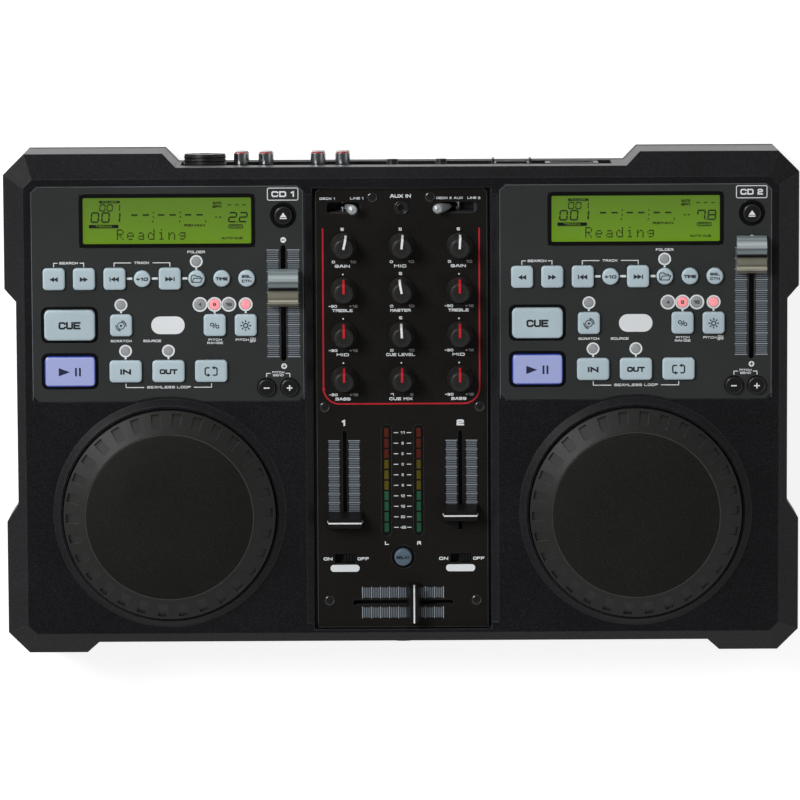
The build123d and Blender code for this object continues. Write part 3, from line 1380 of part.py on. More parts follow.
rim_tilt = degrees(atan2(JOG_TOP - JOG_SHOULDER, JOG_RADIUS - JOG_DISC_RADIUS))
notch_tilt = rim_tilt + degrees(atan2(NOTCH_DEPTH, NOTCH_LENGTH))
encoder_top = bush_bottom - ENCODER_GAP
for number, u in DECKS:
    with BuildPart() as jog_wheel:
        hub = at(u, JOG_V)
        skirt = -JOG_WELL_DEPTH + JOG_FLOOR_GAP
        inner_disc = JOG_DISC_RADIUS - JOG_SKIN
        inner_wall = JOG_RADIUS - JOG_SKIN
        spin(
            hub,
            (0, JOG_TOP),
            (JOG_DISC_RADIUS - JOG_GROOVE, JOG_TOP),
            (JOG_DISC_RADIUS - JOG_GROOVE, JOG_TOP - JOG_GROOVE),
            (JOG_DISC_RADIUS, JOG_TOP - JOG_GROOVE),
            (JOG_DISC_RADIUS, JOG_TOP),
            (JOG_RADIUS, JOG_SHOULDER),
            (JOG_RADIUS, skirt),
            (inner_wall, skirt),
            (inner_wall, JOG_SHOULDER - JOG_SKIN),
            (inner_disc, JOG_TOP - JOG_SKIN),
            (HUB_RADIUS, JOG_TOP - JOG_SKIN),
            (HUB_RADIUS, bush_top),
            (SHAFT_RADIUS, bush_top),
            (SHAFT_RADIUS, encoder_top),
            (ENCODER_RADIUS, encoder_top),
            (ENCODER_RADIUS, encoder_top - ENCODER_DISC),
            (0, encoder_top - ENCODER_DISC),
        )
        # finger notches in the sloping rim, deeper towards their outer ends
        rim_height = JOG_TOP - (NOTCH_RADIUS - JOG_DISC_RADIUS) * (
            (JOG_TOP - JOG_SHOULDER) / (JOG_RADIUS - JOG_DISC_RADIUS)
        )
        with Locations(at(u, JOG_V, rim_height - NOTCH_DEPTH / 2)):
            with PolarLocations(NOTCH_RADIUS, NOTCHES, start_angle=NOTCH_TURN):
                Box(
                    NOTCH_LENGTH,
                    NOTCH_WIDTH,
                    JOG_SKIN,
                    rotation=(0, notch_tilt, 0),
                    align=(Align.CENTER, Align.CENTER, Align.MIN),
                    mode=Mode.SUBTRACT,
                )
        with BuildSketch(at(u, JOG_V, encoder_top + ENCODER_GAP)) as windows:
            with PolarLocations(ENCODER_RADIUS - ENCODER_DISC * 2, ENCODER_SLOTS):
                Rectangle(ENCODER_DISC * 2, ENCODER_DISC)
        extrude(windows.sketch, amount=-3 * ENCODER_DISC, mode=Mode.SUBTRACT)
    save(jog_wheel, f"jog_wheel_{number}")

# ---------------------------------------------------------------- keys

for number, u in DECKS:
    for group, keys in (
        ("transport_keys", TRANSPORT_KEYS),
        ("function_keys", FUNCTION_KEYS),
        ("loop_keys", LOOP_KEYS),
        ("cue_key", (CUE_KEY,)),
        ("play_key", (PLAY_KEY,)),
        ("eject_key", (EJECT_KEY,)),
    ):
        with BuildPart() as key_group:
            for kind, key_u, key_v in keys:
                key(kind, u + key_u, key_v, DECK_TOP)
            fillet(key_group.faces().group_by(Axis((0, 0, 0), OUT))[-1].edges(), KEY_EDGE)
        save(key_group, f"{group}_{number}")

with BuildPart() as relay_button:
    key(*RELAY_KEY, MIXER_TOP)
    fillet(relay_button.faces().sort_by(Axis((0, 0, 0), OUT))[-1].edges(), KEY_EDGE)
save(relay_button, "relay_button")

# ---------------------------------------------------------------- faders, knobs and switches


def fader_cap(u, v, top, size, along_v):
    """A fader cap over its slot, crested across its middle, with its blade."""
    across, deep, height = size
    foot = top + CAP_GAP
    crest = (across * CAP_TAPER, deep * CAP_CREST) if along_v else (across * CAP_CREST, deep * CAP_TAPER)
    with BuildSketch(at(u, v, foot)) as base:
        RectangleRounded(across, deep, CAP_CORNER)
    with BuildSketch(at(u, v, foot + height)) as ridge:
        RectangleRounded(*crest, CAP_CORNER)
    loft([base.sketch, ridge.sketch])
    blade = (BLADE, BLADE_LENGTH) if along_v else (BLADE_LENGTH, BLADE)
    slab(at(u, v, foot), *blade, -BLADE_DEPTH)


for number, u in DECKS:
    with BuildPart() as pitch_fader:
        rest_v = PITCH_V + PITCH_REST[number - 1]
        foot = DECK_TOP + CAP_GAP
        across, deep, height = PITCH_CAP
        # two swelling halves with a groove between them
        near = [(deep / 2 * share, height * rise) for share, rise in PITCH_CAP_SIDE]
        beyond = [(-run, rise) for run, rise in reversed(near)]
        with BuildSketch(side_section(u + PITCH_U - across / 2, rest_v, foot)) as profile:
            Polygon(*near, *beyond, align=None)
        extrude(profile.sketch, amount=across)
        slab(at(u + PITCH_U, rest_v, foot), BLADE, BLADE_LENGTH, -BLADE_DEPTH)
    save(pitch_fader, f"pitch_fader_{number}")

for number, side in SIDES:
    with BuildPart() as channel_fader:
        rest_v = CHANNEL_V + CHANNEL_REST[number - 1]
        fader_cap(side * CHANNEL_U, rest_v, MIXER_TOP, CHANNEL_CAP, True)
    save(channel_fader, f"channel_fader_{number}")

with BuildPart() as crossfader:
    fader_cap(CROSS_REST, CROSS_V, MIXER_TOP, CROSS_CAP, False)
save(crossfader, "crossfader")

for name, (column, row, angle) in KNOBS.items():
    u, v = column * KNOB_COLUMN, KNOB_ROWS[row]
    foot = MIXER_TOP + KNOB_LIFT
    with BuildPart() as knob:
        spin(
            at(u, v),
            (0, foot),
            (KNOB_RADIUS, foot),
            (KNOB_RADIUS, foot + KNOB_SKIRT),
            (KNOB_TOP_RADIUS + KNOB_EDGE, foot + KNOB_HEIGHT - KNOB_EDGE),
            (KNOB_TOP_RADIUS, foot + KNOB_HEIGHT),
            (0, foot + KNOB_HEIGHT),
        )
        # raised pointer line on the top, and the shaft down into the potentiometer
        crown = at(u, v, foot + KNOB_HEIGHT)
        with BuildSketch(turned(crown, about_z=-angle)) as pointer:
            with Locations((0, KNOB_TOP_RADIUS / 2)):
                Rectangle(POINTER_WIDTH, KNOB_TOP_RADIUS)
        extrude(pointer.sketch, amount=POINTER_RISE)
        rod(at(u, v, foot), POT_SHAFT_RADIUS, KNOB_SHAFT_END - KNOB_LIFT - BOARD_DROP)
    save(knob, name)

for name, (u, _, lean) in SELECTORS.items():
    with BuildPart() as lever:
        pivot = at(u, SELECTOR_V, MIXER_TOP - PIVOT_DROP)
        arm = turned(pivot, about_y=lean)
        with BuildSketch(arm) as thin:
            Circle(LEVER_ROOT_RADIUS)
        with BuildSketch(arm.offset(LEVER_LENGTH)) as thick:
            Circle(LEVER_NECK_RADIUS)
        loft([thin.sketch, thick.sketch])
        with Locations(arm.offset(LEVER_LENGTH)):
            Sphere(LEVER_BALL_RADIUS)
        # hub on a cross pin
        with Locations(pivot):
            Cylinder(LEVER_HUB_RADIUS, LEVER_HUB, rotation=(90, 0, 0))
            Cylinder(PIN_RADIUS, SELECTOR_BODY[1], rotation=(90, 0, 0))
    save(lever, name)

for number, side in SIDES:
    with BuildPart() as start_switch:
        floor = bay_floor - START_CAVITY + PLATE_GAP
        u = side * START_U + START_SHIFT
        slab(
            at(u, START_V, floor),
            START_LEVER[0],
            START_LEVER[1],
            MIXER_TOP - START_SINK - floor,
        )
        for rib in (-START_RIB, 0, START_RIB):
            slab(
                at(u + rib, START_V, MIXER_TOP - START_SINK),
                START_RIB / 2,
                START_LEVER[1],
                -START_RIB / 2,
                mode=Mode.SUBTRACT,
            )
    save(start_switch, f"start_switch_{number}")

with BuildPart() as power_switch:
    # rocker on its axle, pressed in at the top
    width, tall = ROCKER_SIZE
    low = (ROCKER_FACE, -tall / 2 + ROCKER_GAP)
    high = (ROCKER_FACE, tall / 2 - ROCKER_GAP)
    with BuildSketch(turned(axle_plane(width / 2), about_z=-ROCKER_TILT)) as profile:
        with BuildLine():
            Polyline(low, (-ROCKER_FACE, -ROCKER_KEEL), (-ROCKER_FACE, ROCKER_KEEL), high)
            ThreePointArc(high, (ROCKER_FACE - ROCKER_DISH, 0), low)
        make_face()
    extrude(profile.sketch, amount=-width)
    rod(axle_plane(width / 2 + AXLE_END), AXLE_RADIUS, -width - 2 * AXLE_END)
save(power_switch, "power_switch")

# ---------------------------------------------------------------- fasteners

with BuildPart() as screws:
    for side in (-1, 1):
        for u, v in SCREW_PLACES:
            seat = at(side * u, v, MIXER_TOP - SCREW_SINK)
            rod(seat, SCREW_HEAD_RADIUS, SCREW_HEAD)
            rod(seat, SCREW_SHANK_RADIUS, SCREW_SINK - PLATE - SCREW_LENGTH + SCREW_GAP)
            with BuildSketch(seat.offset(SCREW_HEAD)) as cross:
                Rectangle(CROSS_RECESS, 2 * SCREW_SHANK_RADIUS)
                Rectangle(2 * SCREW_SHANK_RADIUS, CROSS_RECESS)
            extrude(cross.sketch, amount=-SCREW_HEAD / 2, mode=Mode.SUBTRACT)
        for row in BOSS_ROWS:
            under = Plane((side * BOSS_X, row, PAN_BOTTOM))
            rod(under, SCREW_HEAD_RADIUS, -SCREW_HEAD)
            rod(under, PAN_SCREW_RADIUS, PAN_SCREW_LENGTH - PAN_WALL)
    for x in PHONO_PAIRS:
        rod(rear_plane(x, phono_middle), PHONO_SCREW_RADIUS, PHONO_SCREW_HEAD)
        rod(rear_plane(x, phono_middle), SCREW_SHANK_RADIUS, -SCREW_LENGTH)
save(screws, "screws")
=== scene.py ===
# %% [markdown]
# # A two-deck disc player with a mixer, dressed in Blender
# The shapes of this tabletop disc player come from a CAD model, one mesh for each part, in
# metres and already in place. This lesson adds what a CAD model leaves out: materials with
# grain and soft edges, printed legends, a lit display, rounded key caps and studio light.
# A part that is right as it stands keeps its mesh and gets a material. A part that needs more
# detail gets a new mesh that stands in its place and moves with the same body.

import math

import bmesh
import bpy
from mathutils import Matrix, Vector


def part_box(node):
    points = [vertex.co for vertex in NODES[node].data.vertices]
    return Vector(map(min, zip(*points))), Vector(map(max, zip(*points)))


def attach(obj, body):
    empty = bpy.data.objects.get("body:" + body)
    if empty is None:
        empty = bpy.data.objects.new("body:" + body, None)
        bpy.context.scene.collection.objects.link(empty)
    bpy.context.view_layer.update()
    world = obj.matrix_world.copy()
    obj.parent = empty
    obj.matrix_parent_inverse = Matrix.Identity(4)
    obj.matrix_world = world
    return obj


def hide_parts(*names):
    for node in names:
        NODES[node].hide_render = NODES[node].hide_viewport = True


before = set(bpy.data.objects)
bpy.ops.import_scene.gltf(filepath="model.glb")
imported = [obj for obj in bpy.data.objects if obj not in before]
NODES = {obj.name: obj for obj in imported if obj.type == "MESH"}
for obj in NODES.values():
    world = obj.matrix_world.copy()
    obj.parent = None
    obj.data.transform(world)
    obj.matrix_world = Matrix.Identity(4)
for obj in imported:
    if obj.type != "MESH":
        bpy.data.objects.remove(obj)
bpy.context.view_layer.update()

# %% [markdown]
# ## A drawing board on the sloping panel
# Nearly everything that shows sits on a panel that slopes up to the rear. It is easier to draw
# there in millimetres: u to the right, v up the slope and w out of the surface. One matrix
# then carries a finished mesh from those panel millimetres to metres in the scene. The rear
# wall gets a board of its own in the same way.

# %% Matrices for the panel and the rear wall
MM = 0.001
SLOPE = math.radians(6.5)
PANEL_HEIGHT = 86.0  # of the panel's middle above the table
DECKS = ((1, -130.4), (2, 130.4))  # each deck's number and the u of its middle
DECK_TOP = 0.5  # w of a deck plate's top
MIXER_TOP = -2.5  # w of the mixer plate's top
KEY_RISE = 2.2  # of a key's face over its plate
KEY_TOP = DECK_TOP + KEY_RISE
PLATE_FRONT = Vector((-129.9, MIXER_TOP))  # v and w of the mixer plate's front top edge
LEVEL_AND_SLOPE = Vector((-math.cos(SLOPE), math.sin(SLOPE)))
PANEL_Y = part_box("mixer_plate")[0].y / MM + PLATE_FRONT.dot(LEVEL_AND_SLOPE)
REAR_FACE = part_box("rear_panel")[1].y / MM
SCALE = Matrix.Scale(MM, 4)
PANEL_MIDDLE = Matrix.Translation((0, PANEL_Y, PANEL_HEIGHT))
PANEL = SCALE @ PANEL_MIDDLE @ Matrix.Rotation(SLOPE, 4, "X")
REAR = SCALE @ Matrix(((-1, 0, 0, 0), (0, 0, 1, REAR_FACE), (0, 1, 0, 0), (0, 0, 0, 1)))
print("panel's middle at", round(PANEL_Y, 2), "mm, rear wall at", round(REAR_FACE, 2), "mm")

# %% [markdown]
# ## Camera
# The player is seen from nearly straight above, leaning four degrees to the rear, through a
# long lens from five metres away. Such a lens flattens the perspective, so the side walls
# hardly show. The camera also turns a third of a degree, as a hand-held one does.

# %% Camera
CAMERA_REACH = 5.0
CAMERA_LEAN = math.radians(4.2)
CAMERA_ROLL = math.radians(0.29)
VIEW_WIDTH = 0.4468
VIEW_MIDDLE = Vector((-1.23, 0.35, 0.0))  # u, v and w of the point that it looks at
camera_target = PANEL @ VIEW_MIDDLE
camera_data = bpy.data.cameras.new("camera")
camera_data.sensor_width = 36.0
camera_data.lens = camera_data.sensor_width * CAMERA_REACH / VIEW_WIDTH
camera = bpy.data.objects.new("camera", camera_data)
bpy.context.scene.collection.objects.link(camera)
away = Vector((0.0, math.sin(CAMERA_LEAN), math.cos(CAMERA_LEAN)))
camera_turn = Matrix.Rotation(-CAMERA_LEAN, 4, "X") @ Matrix.Rotation(-CAMERA_ROLL, 4, "Z")
camera.matrix_world = Matrix.Translation(camera_target + CAMERA_REACH * away) @ camera_turn
bpy.context.scene.camera = camera
bpy.context.scene.view_settings.view_transform = "Standard"
print("lens", round(camera_data.lens), "mm")

# %% [markdown]
# ## Helpers for shader nodes
# A material is a small graph. Helpers keep its lines short. The main one places a node and
# fills its sockets, each with a number, a colour or the output of another node. Sums, changes
# of range and mixes come up again and again, so they get a helper each, and two more start a
# node group and a material with a Principled shader.

# %% Place nodes and start materials
def plain(red, green, blue):
    """A colour on the 0 to 255 screen scale as Blender's linear RGBA."""
    def linear(channel):
        share = channel / 255
        return share / 12.92 if share <= 0.04045 else ((share + 0.055) / 1.055) ** 2.4
    return (linear(red), linear(green), linear(blue), 1.0)


def fill(tree, socket, value):
    """Link a socket to another node's output, or set its own value."""
    if isinstance(value, bpy.types.NodeSocket):
        tree.links.new(value, socket)
    else:
        socket.default_value = value


def place(tree, kind, settings=None, **sockets):
    """Add a node, set its properties, and fill its sockets by name or number."""
    node = tree.nodes.new("ShaderNode" + kind)
    for name, value in (settings or {}).items():
        setattr(node, name, value)
    for name, value in sockets.items():
        key = name.replace("_", " ")
        if key.startswith("in") and key[2:].isdigit():
            key = int(key[2:])
        fill(tree, node.inputs[key], value)
    return node


def maths(tree, operation, *values, clamp=False):
    """Place a Math node, and give its result."""
    settings = {"operation": operation, "use_clamp": clamp}
    sockets = {f"in{i}": value for i, value in enumerate(values)}
    return place(tree, "Math", settings, **sockets).outputs[0]


def remap(tree, value, start, end, low, high):
    """Place a Map Range node that takes start to end onto low to high."""
    return place(
        tree, "MapRange", {"clamp": True}, Value=value, From_Min=start, From_Max=end,
        To_Min=low, To_Max=high,
    ).outputs[0]


def mix(tree, share, first, second):
    """Place a Mix node between two colours, and give its result."""
    return place(
        tree, "Mix", {"data_type": "RGBA"}, in0=share, in6=first, in7=second
    ).outputs[2]


def new_group(name, inputs, outputs):
    """Start a shader node group with named sockets, and give its tree, inputs and outputs."""
    tree = bpy.data.node_groups.new(name, "ShaderNodeTree")
    for title, kind, value in inputs:
        socket = tree.interface.new_socket(title, in_out="INPUT", socket_type="NodeSocket" + kind)
        socket.default_value = value
    for title, kind in outputs:
        tree.interface.new_socket(title, in_out="OUTPUT", socket_type="NodeSocket" + kind)
    group_in = tree.nodes.new("NodeGroupInput").outputs
    group_out = tree.nodes.new("NodeGroupOutput").inputs
    return tree, group_in, group_out


def new_material(name, **constants):
    """Start a material, and give it, its tree and its Principled shader."""
    material = bpy.data.materials.new(name)
    material.use_nodes = True
    shader = material.node_tree.nodes["Principled BSDF"]
    for title, value in constants.items():
        shader.inputs[title.replace("_", " ")].default_value = value
    return material, material.node_tree, shader


def use_group(tree, group, **sockets):
    """Place a node group in a material."""
    node = tree.nodes.new("ShaderNodeGroup")
    node.node_tree = group
    for name, value in sockets.items():
        fill(tree, node.inputs[name.replace("_", " ")], value)
    return node


print("helpers ready")

# %% [markdown]
# ## Grain: the skin of moulded and painted parts
# No moulded or powder-coated part is one flat colour. Under a lens it shows grains a few
# tenths of a millimetre across, a cloudier change of tone over centimetres, and gloss that
# varies with both. One node group makes all three from noise, so each finish below only picks
# its own sizes and strengths.

# %% Node group: grain
grain, grain_in, grain_out = new_group(
    "grain",
    (
        ("Colour", "Color", (0.1, 0.1, 0.1, 1.0)),
        ("Fleck", "Color", (0.2, 0.2, 0.2, 1.0)),
        ("Size", "Float", 0.4),
        ("Flecks", "Float", 0.3),
        ("Cloud", "Float", 0.1),
        ("Roughness", "Float", 0.5),
        ("Roughness Spread", "Float", 0.1),
    ),
    (("Colour", "Color"), ("Roughness", "Float"), ("Height", "Float")),
)
spot = place(grain, "TexCoord").outputs["Object"]
per_metre = maths(grain, "DIVIDE", 1 / MM, grain_in["Size"])
fine = place(grain, "TexNoise", Vector=spot, Scale=per_metre, Detail=2.0).outputs[0]
cells = place(grain, "TexVoronoi", Vector=spot, Scale=per_metre).outputs[0]
cloudy = place(grain, "TexNoise", Vector=spot, Scale=28.0, Detail=4.0).outputs[0]
fleck_share = maths(
    grain, "MULTIPLY", remap(grain, cells, 0.0, 0.42, 1.0, 0.0), grain_in["Flecks"]
)
flecked = mix(grain, fleck_share, grain_in["Colour"], grain_in["Fleck"])
cloud_tone = remap(grain, cloudy, 0.3, 0.7, -1.0, 1.0)
cloud_gain = maths(grain, "MULTIPLY_ADD", cloud_tone, grain_in["Cloud"], 1.0)
tone = place(grain, "VectorMath", {"operation": "SCALE"}, in0=flecked, Scale=cloud_gain).outputs[0]
swing = maths(grain, "SUBTRACT", fine, 0.5)
rough = maths(
    grain, "MULTIPLY_ADD", swing, grain_in["Roughness Spread"], grain_in["Roughness"], clamp=True
)
grain.links.new(tone, grain_out["Colour"])
grain.links.new(rough, grain_out["Roughness"])
grain.links.new(fine, grain_out["Height"])
print("grain group:", len(grain.nodes), "nodes")

# %% [markdown]
# ## Soft edges: the thin light line along every edge
# Real edges are never perfectly sharp. Their small radius catches the light as a thin line,
# which tells the eye how large the thing is. The Bevel node rounds the shading normal within a
# chosen radius. Where it differs from the true normal there is an edge, and that difference
# also gives a mask for a lighter colour on the edges: partly paint rubbed thin, partly a
# painted highlight along the edge.

# %% Node group: soft edge
soft_edge, soft_in, soft_out = new_group(
    "soft_edge",
    (
        ("Radius", "Float", 0.3),
        ("Colour", "Color", (0.1, 0.1, 0.1, 1.0)),
        ("Rubbed", "Color", (0.2, 0.2, 0.2, 1.0)),
        ("Wear", "Float", 0.3),
    ),
    (("Colour", "Color"), ("Normal", "Vector")),
)
radius = maths(soft_edge, "MULTIPLY", soft_in["Radius"], MM)
rounded = place(soft_edge, "Bevel", {"samples": 4}, Radius=radius).outputs[0]
true_normal = place(soft_edge, "NewGeometry").outputs["Normal"]
agreement = place(
    soft_edge, "VectorMath", {"operation": "DOT_PRODUCT"}, in0=rounded, in1=true_normal
).outputs["Value"]
edge = remap(soft_edge, agreement, 1.0, 0.8, 0.0, 1.0)
patchy = place(
    soft_edge, "TexNoise", Vector=place(soft_edge, "TexCoord").outputs["Object"], Scale=220.0
).outputs[0]
# The edge colour mixed in here is partly rubbed paint and partly a painted highlight.
rub_and_highlight = maths(soft_edge, "MULTIPLY", maths(soft_edge, "MULTIPLY", edge, patchy), soft_in["Wear"])
rubbed_and_lit = mix(soft_edge, rub_and_highlight, soft_in["Colour"], soft_in["Rubbed"])
soft_edge.links.new(rubbed_and_lit, soft_out["Colour"])
soft_edge.links.new(rounded, soft_out["Normal"])
print("soft edge group:", len(soft_edge.nodes), "nodes")

# %% [markdown]
# ## Brushing: fine parallel lines in metal
# Anodised and brushed metal carries fine lines in one direction. Noise that is stretched along
# one axis gives them: the group takes the stretch as a vector, so each metal chooses which
# way its lines run.

# %% Node group: brushing
brushing, brush_in, brush_out = new_group(
    "brushing",
    (
        ("Colour", "Color", (0.5, 0.5, 0.5, 1.0)),
        ("Stretch", "Vector", (300.0, 6000.0, 6000.0)),
        ("Contrast", "Float", 0.1),
        ("Roughness", "Float", 0.3),
        ("Roughness Spread", "Float", 0.2),
    ),
    (("Colour", "Color"), ("Roughness", "Float"), ("Height", "Float")),
)
stretched = place(
    brushing, "VectorMath", {"operation": "MULTIPLY"},
    in0=place(brushing, "TexCoord").outputs["Object"], in1=brush_in["Stretch"],
).outputs[0]
lines = place(brushing, "TexNoise", Vector=stretched, Scale=1.0, Detail=3.0).outputs[0]
offset = maths(brushing, "SUBTRACT", lines, 0.5)
brush_gain = maths(brushing, "MULTIPLY_ADD", offset, brush_in["Contrast"], 1.0)
brush_tone = place(
    brushing, "VectorMath", {"operation": "SCALE"}, in0=brush_in["Colour"], Scale=brush_gain
).outputs[0]
brush_rough = maths(
    brushing, "MULTIPLY_ADD", offset, brush_in["Roughness Spread"], brush_in["Roughness"],
    clamp=True,
)
brushing.links.new(brush_tone, brush_out["Colour"])
brushing.links.new(brush_rough, brush_out["Roughness"])
brushing.links.new(lines, brush_out["Height"])
print("brushing group:", len(brushing.nodes), "nodes")

# %% [markdown]
# ## Finishes built on those groups
# Most of the player is moulded plastic or painted sheet. They share one recipe: grain gives
# the colour, the gloss and a fine bump, and the soft edge puts a thin light line on every
# corner, from its rounded normal and from a lighter colour that is partly wear and partly a
# painted highlight. Metal takes brushing in place of grain.

# %% Recipes for coated parts and for metal
def finish_skin(tree, shader, skin, rubbed_and_lit, edge_radius, wear_and_highlight, depth):
    """Lay soft edges and a fine bump over a skin, and feed the shader with them."""
    # The soft edge paints a lighter colour on the edges: partly wear, partly a painted highlight.
    edges = use_group(
        tree, soft_edge, Radius=edge_radius, Colour=skin.outputs["Colour"], Rubbed=rubbed_and_lit,
        Wear=wear_and_highlight,
    )
    bump = place(
        tree, "Bump", Strength=1.0, Distance=depth * MM, Height=skin.outputs["Height"],
        Normal=edges.outputs["Normal"],
    )
    tree.links.new(edges.outputs["Colour"], shader.inputs["Base Color"])
    tree.links.new(skin.outputs["Roughness"], shader.inputs["Roughness"])
    tree.links.new(bump.outputs[0], shader.inputs["Normal"])


def coated(name, colour, fleck, size=0.4, flecks=0.3, cloud=0.08, gloss=0.5, spread=0.2,
           depth=0.02, edge_radius=0.35, wear_and_highlight=0.3, **constants):
    """Moulded plastic or painted sheet with grain and soft edges."""
    material, tree, shader = new_material(name, **constants)
    skin = use_group(
        tree, grain, Colour=colour, Fleck=fleck, Size=size, Flecks=flecks, Cloud=cloud,
        Roughness=gloss, Roughness_Spread=spread,
    )
    finish_skin(tree, shader, skin, fleck, edge_radius, wear_and_highlight, depth)
    return material


def metal(name, colour, stretch, contrast=0.15, gloss=0.3, spread=0.2):
    """Bare or plated metal with brushed lines and soft edges."""
    material, tree, shader = new_material(name, Metallic=1.0)
    skin = use_group(
        tree, brushing, Colour=colour, Stretch=stretch, Contrast=contrast, Roughness=gloss,
        Roughness_Spread=spread,
    )
    finish_skin(tree, shader, skin, colour, edge_radius=0.3, wear_and_highlight=0.0, depth=0.01)
    return material


EVEN = (1500.0, 1500.0, 1500.0)  # how often the noise repeats in a metre along x, y and z
ALONG_X = (120.0, 6000.0, 6000.0)
print("recipes ready")

# %% [markdown]
# The case is black plastic with a fine light fleck. The deck plates are a step lighter than
# the case, and the mixer plate is about as dark as the case and warmer. All have a satin gloss.

# %% Finishes of the case and the plates
housing_skin = coated(
    "housing_speckled_black", plain(20, 19, 21), plain(104, 108, 120), size=0.85, flecks=0.17,
    cloud=0.16, gloss=0.4, depth=0.05, edge_radius=0.7, wear_and_highlight=0.9, Specular_IOR_Level=0.17,
)
deck_paint = coated(
    "deck_plate_grey", plain(49, 51, 51), plain(96, 100, 100), size=0.6, flecks=0.16, cloud=0.08,
    gloss=0.45, edge_radius=0.45, wear_and_highlight=1.0, Specular_IOR_Level=0.2,
)
mixer_paint = coated(
    "mixer_plate_black", plain(21, 19, 17), plain(84, 80, 74), size=0.75, flecks=0.16, cloud=0.16,
    gloss=0.5, edge_radius=0.45, wear_and_highlight=1.0, Specular_IOR_Level=0.15,
)
pan_paint = coated(
    "pan_black", plain(20, 20, 21), plain(60, 60, 62), gloss=0.6, Specular_IOR_Level=0.2,
)
rear_paint = coated("rear_plate_black", plain(26, 26, 27), plain(60, 60, 62), gloss=0.5)
foot_rubber = coated(
    "foot_rubber", plain(30, 30, 30), plain(52, 52, 52), size=0.8, gloss=0.85, depth=0.05,
    edge_radius=0.8,
)
bezel_gloss = coated(
    "bezel_gloss_black", plain(20, 20, 21), plain(34, 34, 36), size=0.3, flecks=0.1, gloss=0.18,
    spread=0.08, depth=0.003, edge_radius=0.4,
)
socket_plastic = coated("socket_black", plain(26, 26, 27), plain(48, 48, 50), gloss=0.4)
black_oxide = coated(
    "screw_black_oxide", plain(13, 13, 14), plain(120, 122, 126), size=0.4, flecks=0.1, gloss=0.22,
    spread=0.1, depth=0.008, edge_radius=0.35, wear_and_highlight=1.2,
)
screw_gloss = coated(
    "screw_gloss_black", plain(22, 22, 22), plain(120, 122, 126), size=0.4, flecks=0.1, gloss=0.16,
    spread=0.08, depth=0.004, edge_radius=0.3, wear_and_highlight=0.8, Specular_IOR_Level=0.8,
)
bed_black = coated(
    "key_bed_black", plain(9, 9, 9), plain(20, 20, 20), gloss=0.4, depth=0.005, wear_and_highlight=0.0,
    Specular_IOR_Level=0.2,
)
print(len(bpy.data.materials), "materials so far")

# %% [markdown]
# The moving parts are touched, so most of them are smoother. The keys are pale silicone with
# a faint fleck, so that they don't look like chalk. The knobs are soft black rubber, the
# mixer's fader caps smooth black plastic and the levers' handles satin chrome.

# %% Finishes of the moving parts
key_skin = coated(
    "key_pale_silicone", plain(184, 202, 210), plain(212, 226, 232), size=0.8, flecks=0.25,
    cloud=0.06, gloss=0.42, depth=0.01, edge_radius=0.3, wear_and_highlight=0.4,
)
black_key_skin = coated(
    "key_black", plain(20, 20, 21), plain(60, 60, 62), size=0.4, gloss=0.3, depth=0.006, wear_and_highlight=0.8,
)
relay_skin = coated(
    "relay_blue_grey", plain(86, 104, 120), plain(116, 130, 142), size=0.7, gloss=0.45, depth=0.006,
)
knob_rubber = coated(
    "knob_soft_black", plain(34, 33, 32), plain(84, 84, 84), size=0.6, flecks=0.25, gloss=0.4,
    depth=0.02, edge_radius=0.4, wear_and_highlight=1.2, Specular_IOR_Level=0.3,
)
fader_plastic = coated(
    "fader_black", plain(19, 18, 17), plain(52, 52, 53), size=0.45, gloss=0.34, depth=0.006,
    edge_radius=0.35, Specular_IOR_Level=0.3,
)
jog_rim_skin = coated(
    "jog_rim_grey", plain(33, 34, 32), plain(84, 86, 84), size=0.7, flecks=0.2, cloud=0.1,
    gloss=0.45, depth=0.03, edge_radius=0.4, wear_and_highlight=1.0, Specular_IOR_Level=0.22,
)
jog_disc_skin = coated(
    "jog_disc_black", plain(23, 23, 20), plain(120, 118, 104), size=0.9, flecks=0.09, cloud=0.12,
    gloss=0.6, depth=0.04, edge_radius=0.3, Specular_IOR_Level=0.15,
)
lever_chrome = metal(
    "lever_chrome", plain(206, 208, 210), EVEN, contrast=0.04, gloss=0.2, spread=0.05,
)
lever_satin = coated(
    "lever_satin_chrome", plain(176, 180, 182), plain(224, 228, 230), size=0.5, flecks=0.2,
    cloud=0.1, gloss=0.22, spread=0.08, depth=0.004, wear_and_highlight=0.0, Metallic=0.45,
    Specular_IOR_Level=0.7,
)
insulator_red = coated("insulator_red", plain(168, 30, 34), plain(190, 60, 60), gloss=0.35)
insulator_white = coated("insulator_white", plain(214, 214, 210), plain(230, 230, 228), gloss=0.35)
nickel = metal("nickel", plain(176, 180, 182), EVEN, contrast=0.06, gloss=0.12, spread=0.06)
print(len(bpy.data.materials), "materials so far")

# %% [markdown]
# Inside are boards, sheet steel and brass. They hardly show, but a slot or an opening lets
# the eye in, and someone may open the model.

# %% Finishes of the parts inside
board_green = coated(
    "board_green", plain(36, 78, 48), plain(150, 140, 90), size=3.0, flecks=0.2, gloss=0.35,
    depth=0.05,
)
component_grey = coated("component_grey", plain(58, 58, 62), plain(96, 96, 100), gloss=0.5)
supply_brown = coated("supply_brown", plain(92, 82, 60), plain(140, 130, 100), size=1.5, gloss=0.5)
zinc_steel = metal("zinc_steel", plain(176, 178, 182), ALONG_X, contrast=0.2, gloss=0.35)
brass = metal("brass", plain(205, 172, 110), EVEN, gloss=0.3)
print(len(bpy.data.materials), "materials so far")

# %% [markdown]
# Clear and lit surfaces need no grain. The display window is real glass over the display, so
# light bends and glints on it. Printed ink is nearly matt, and its cover is a little uneven.

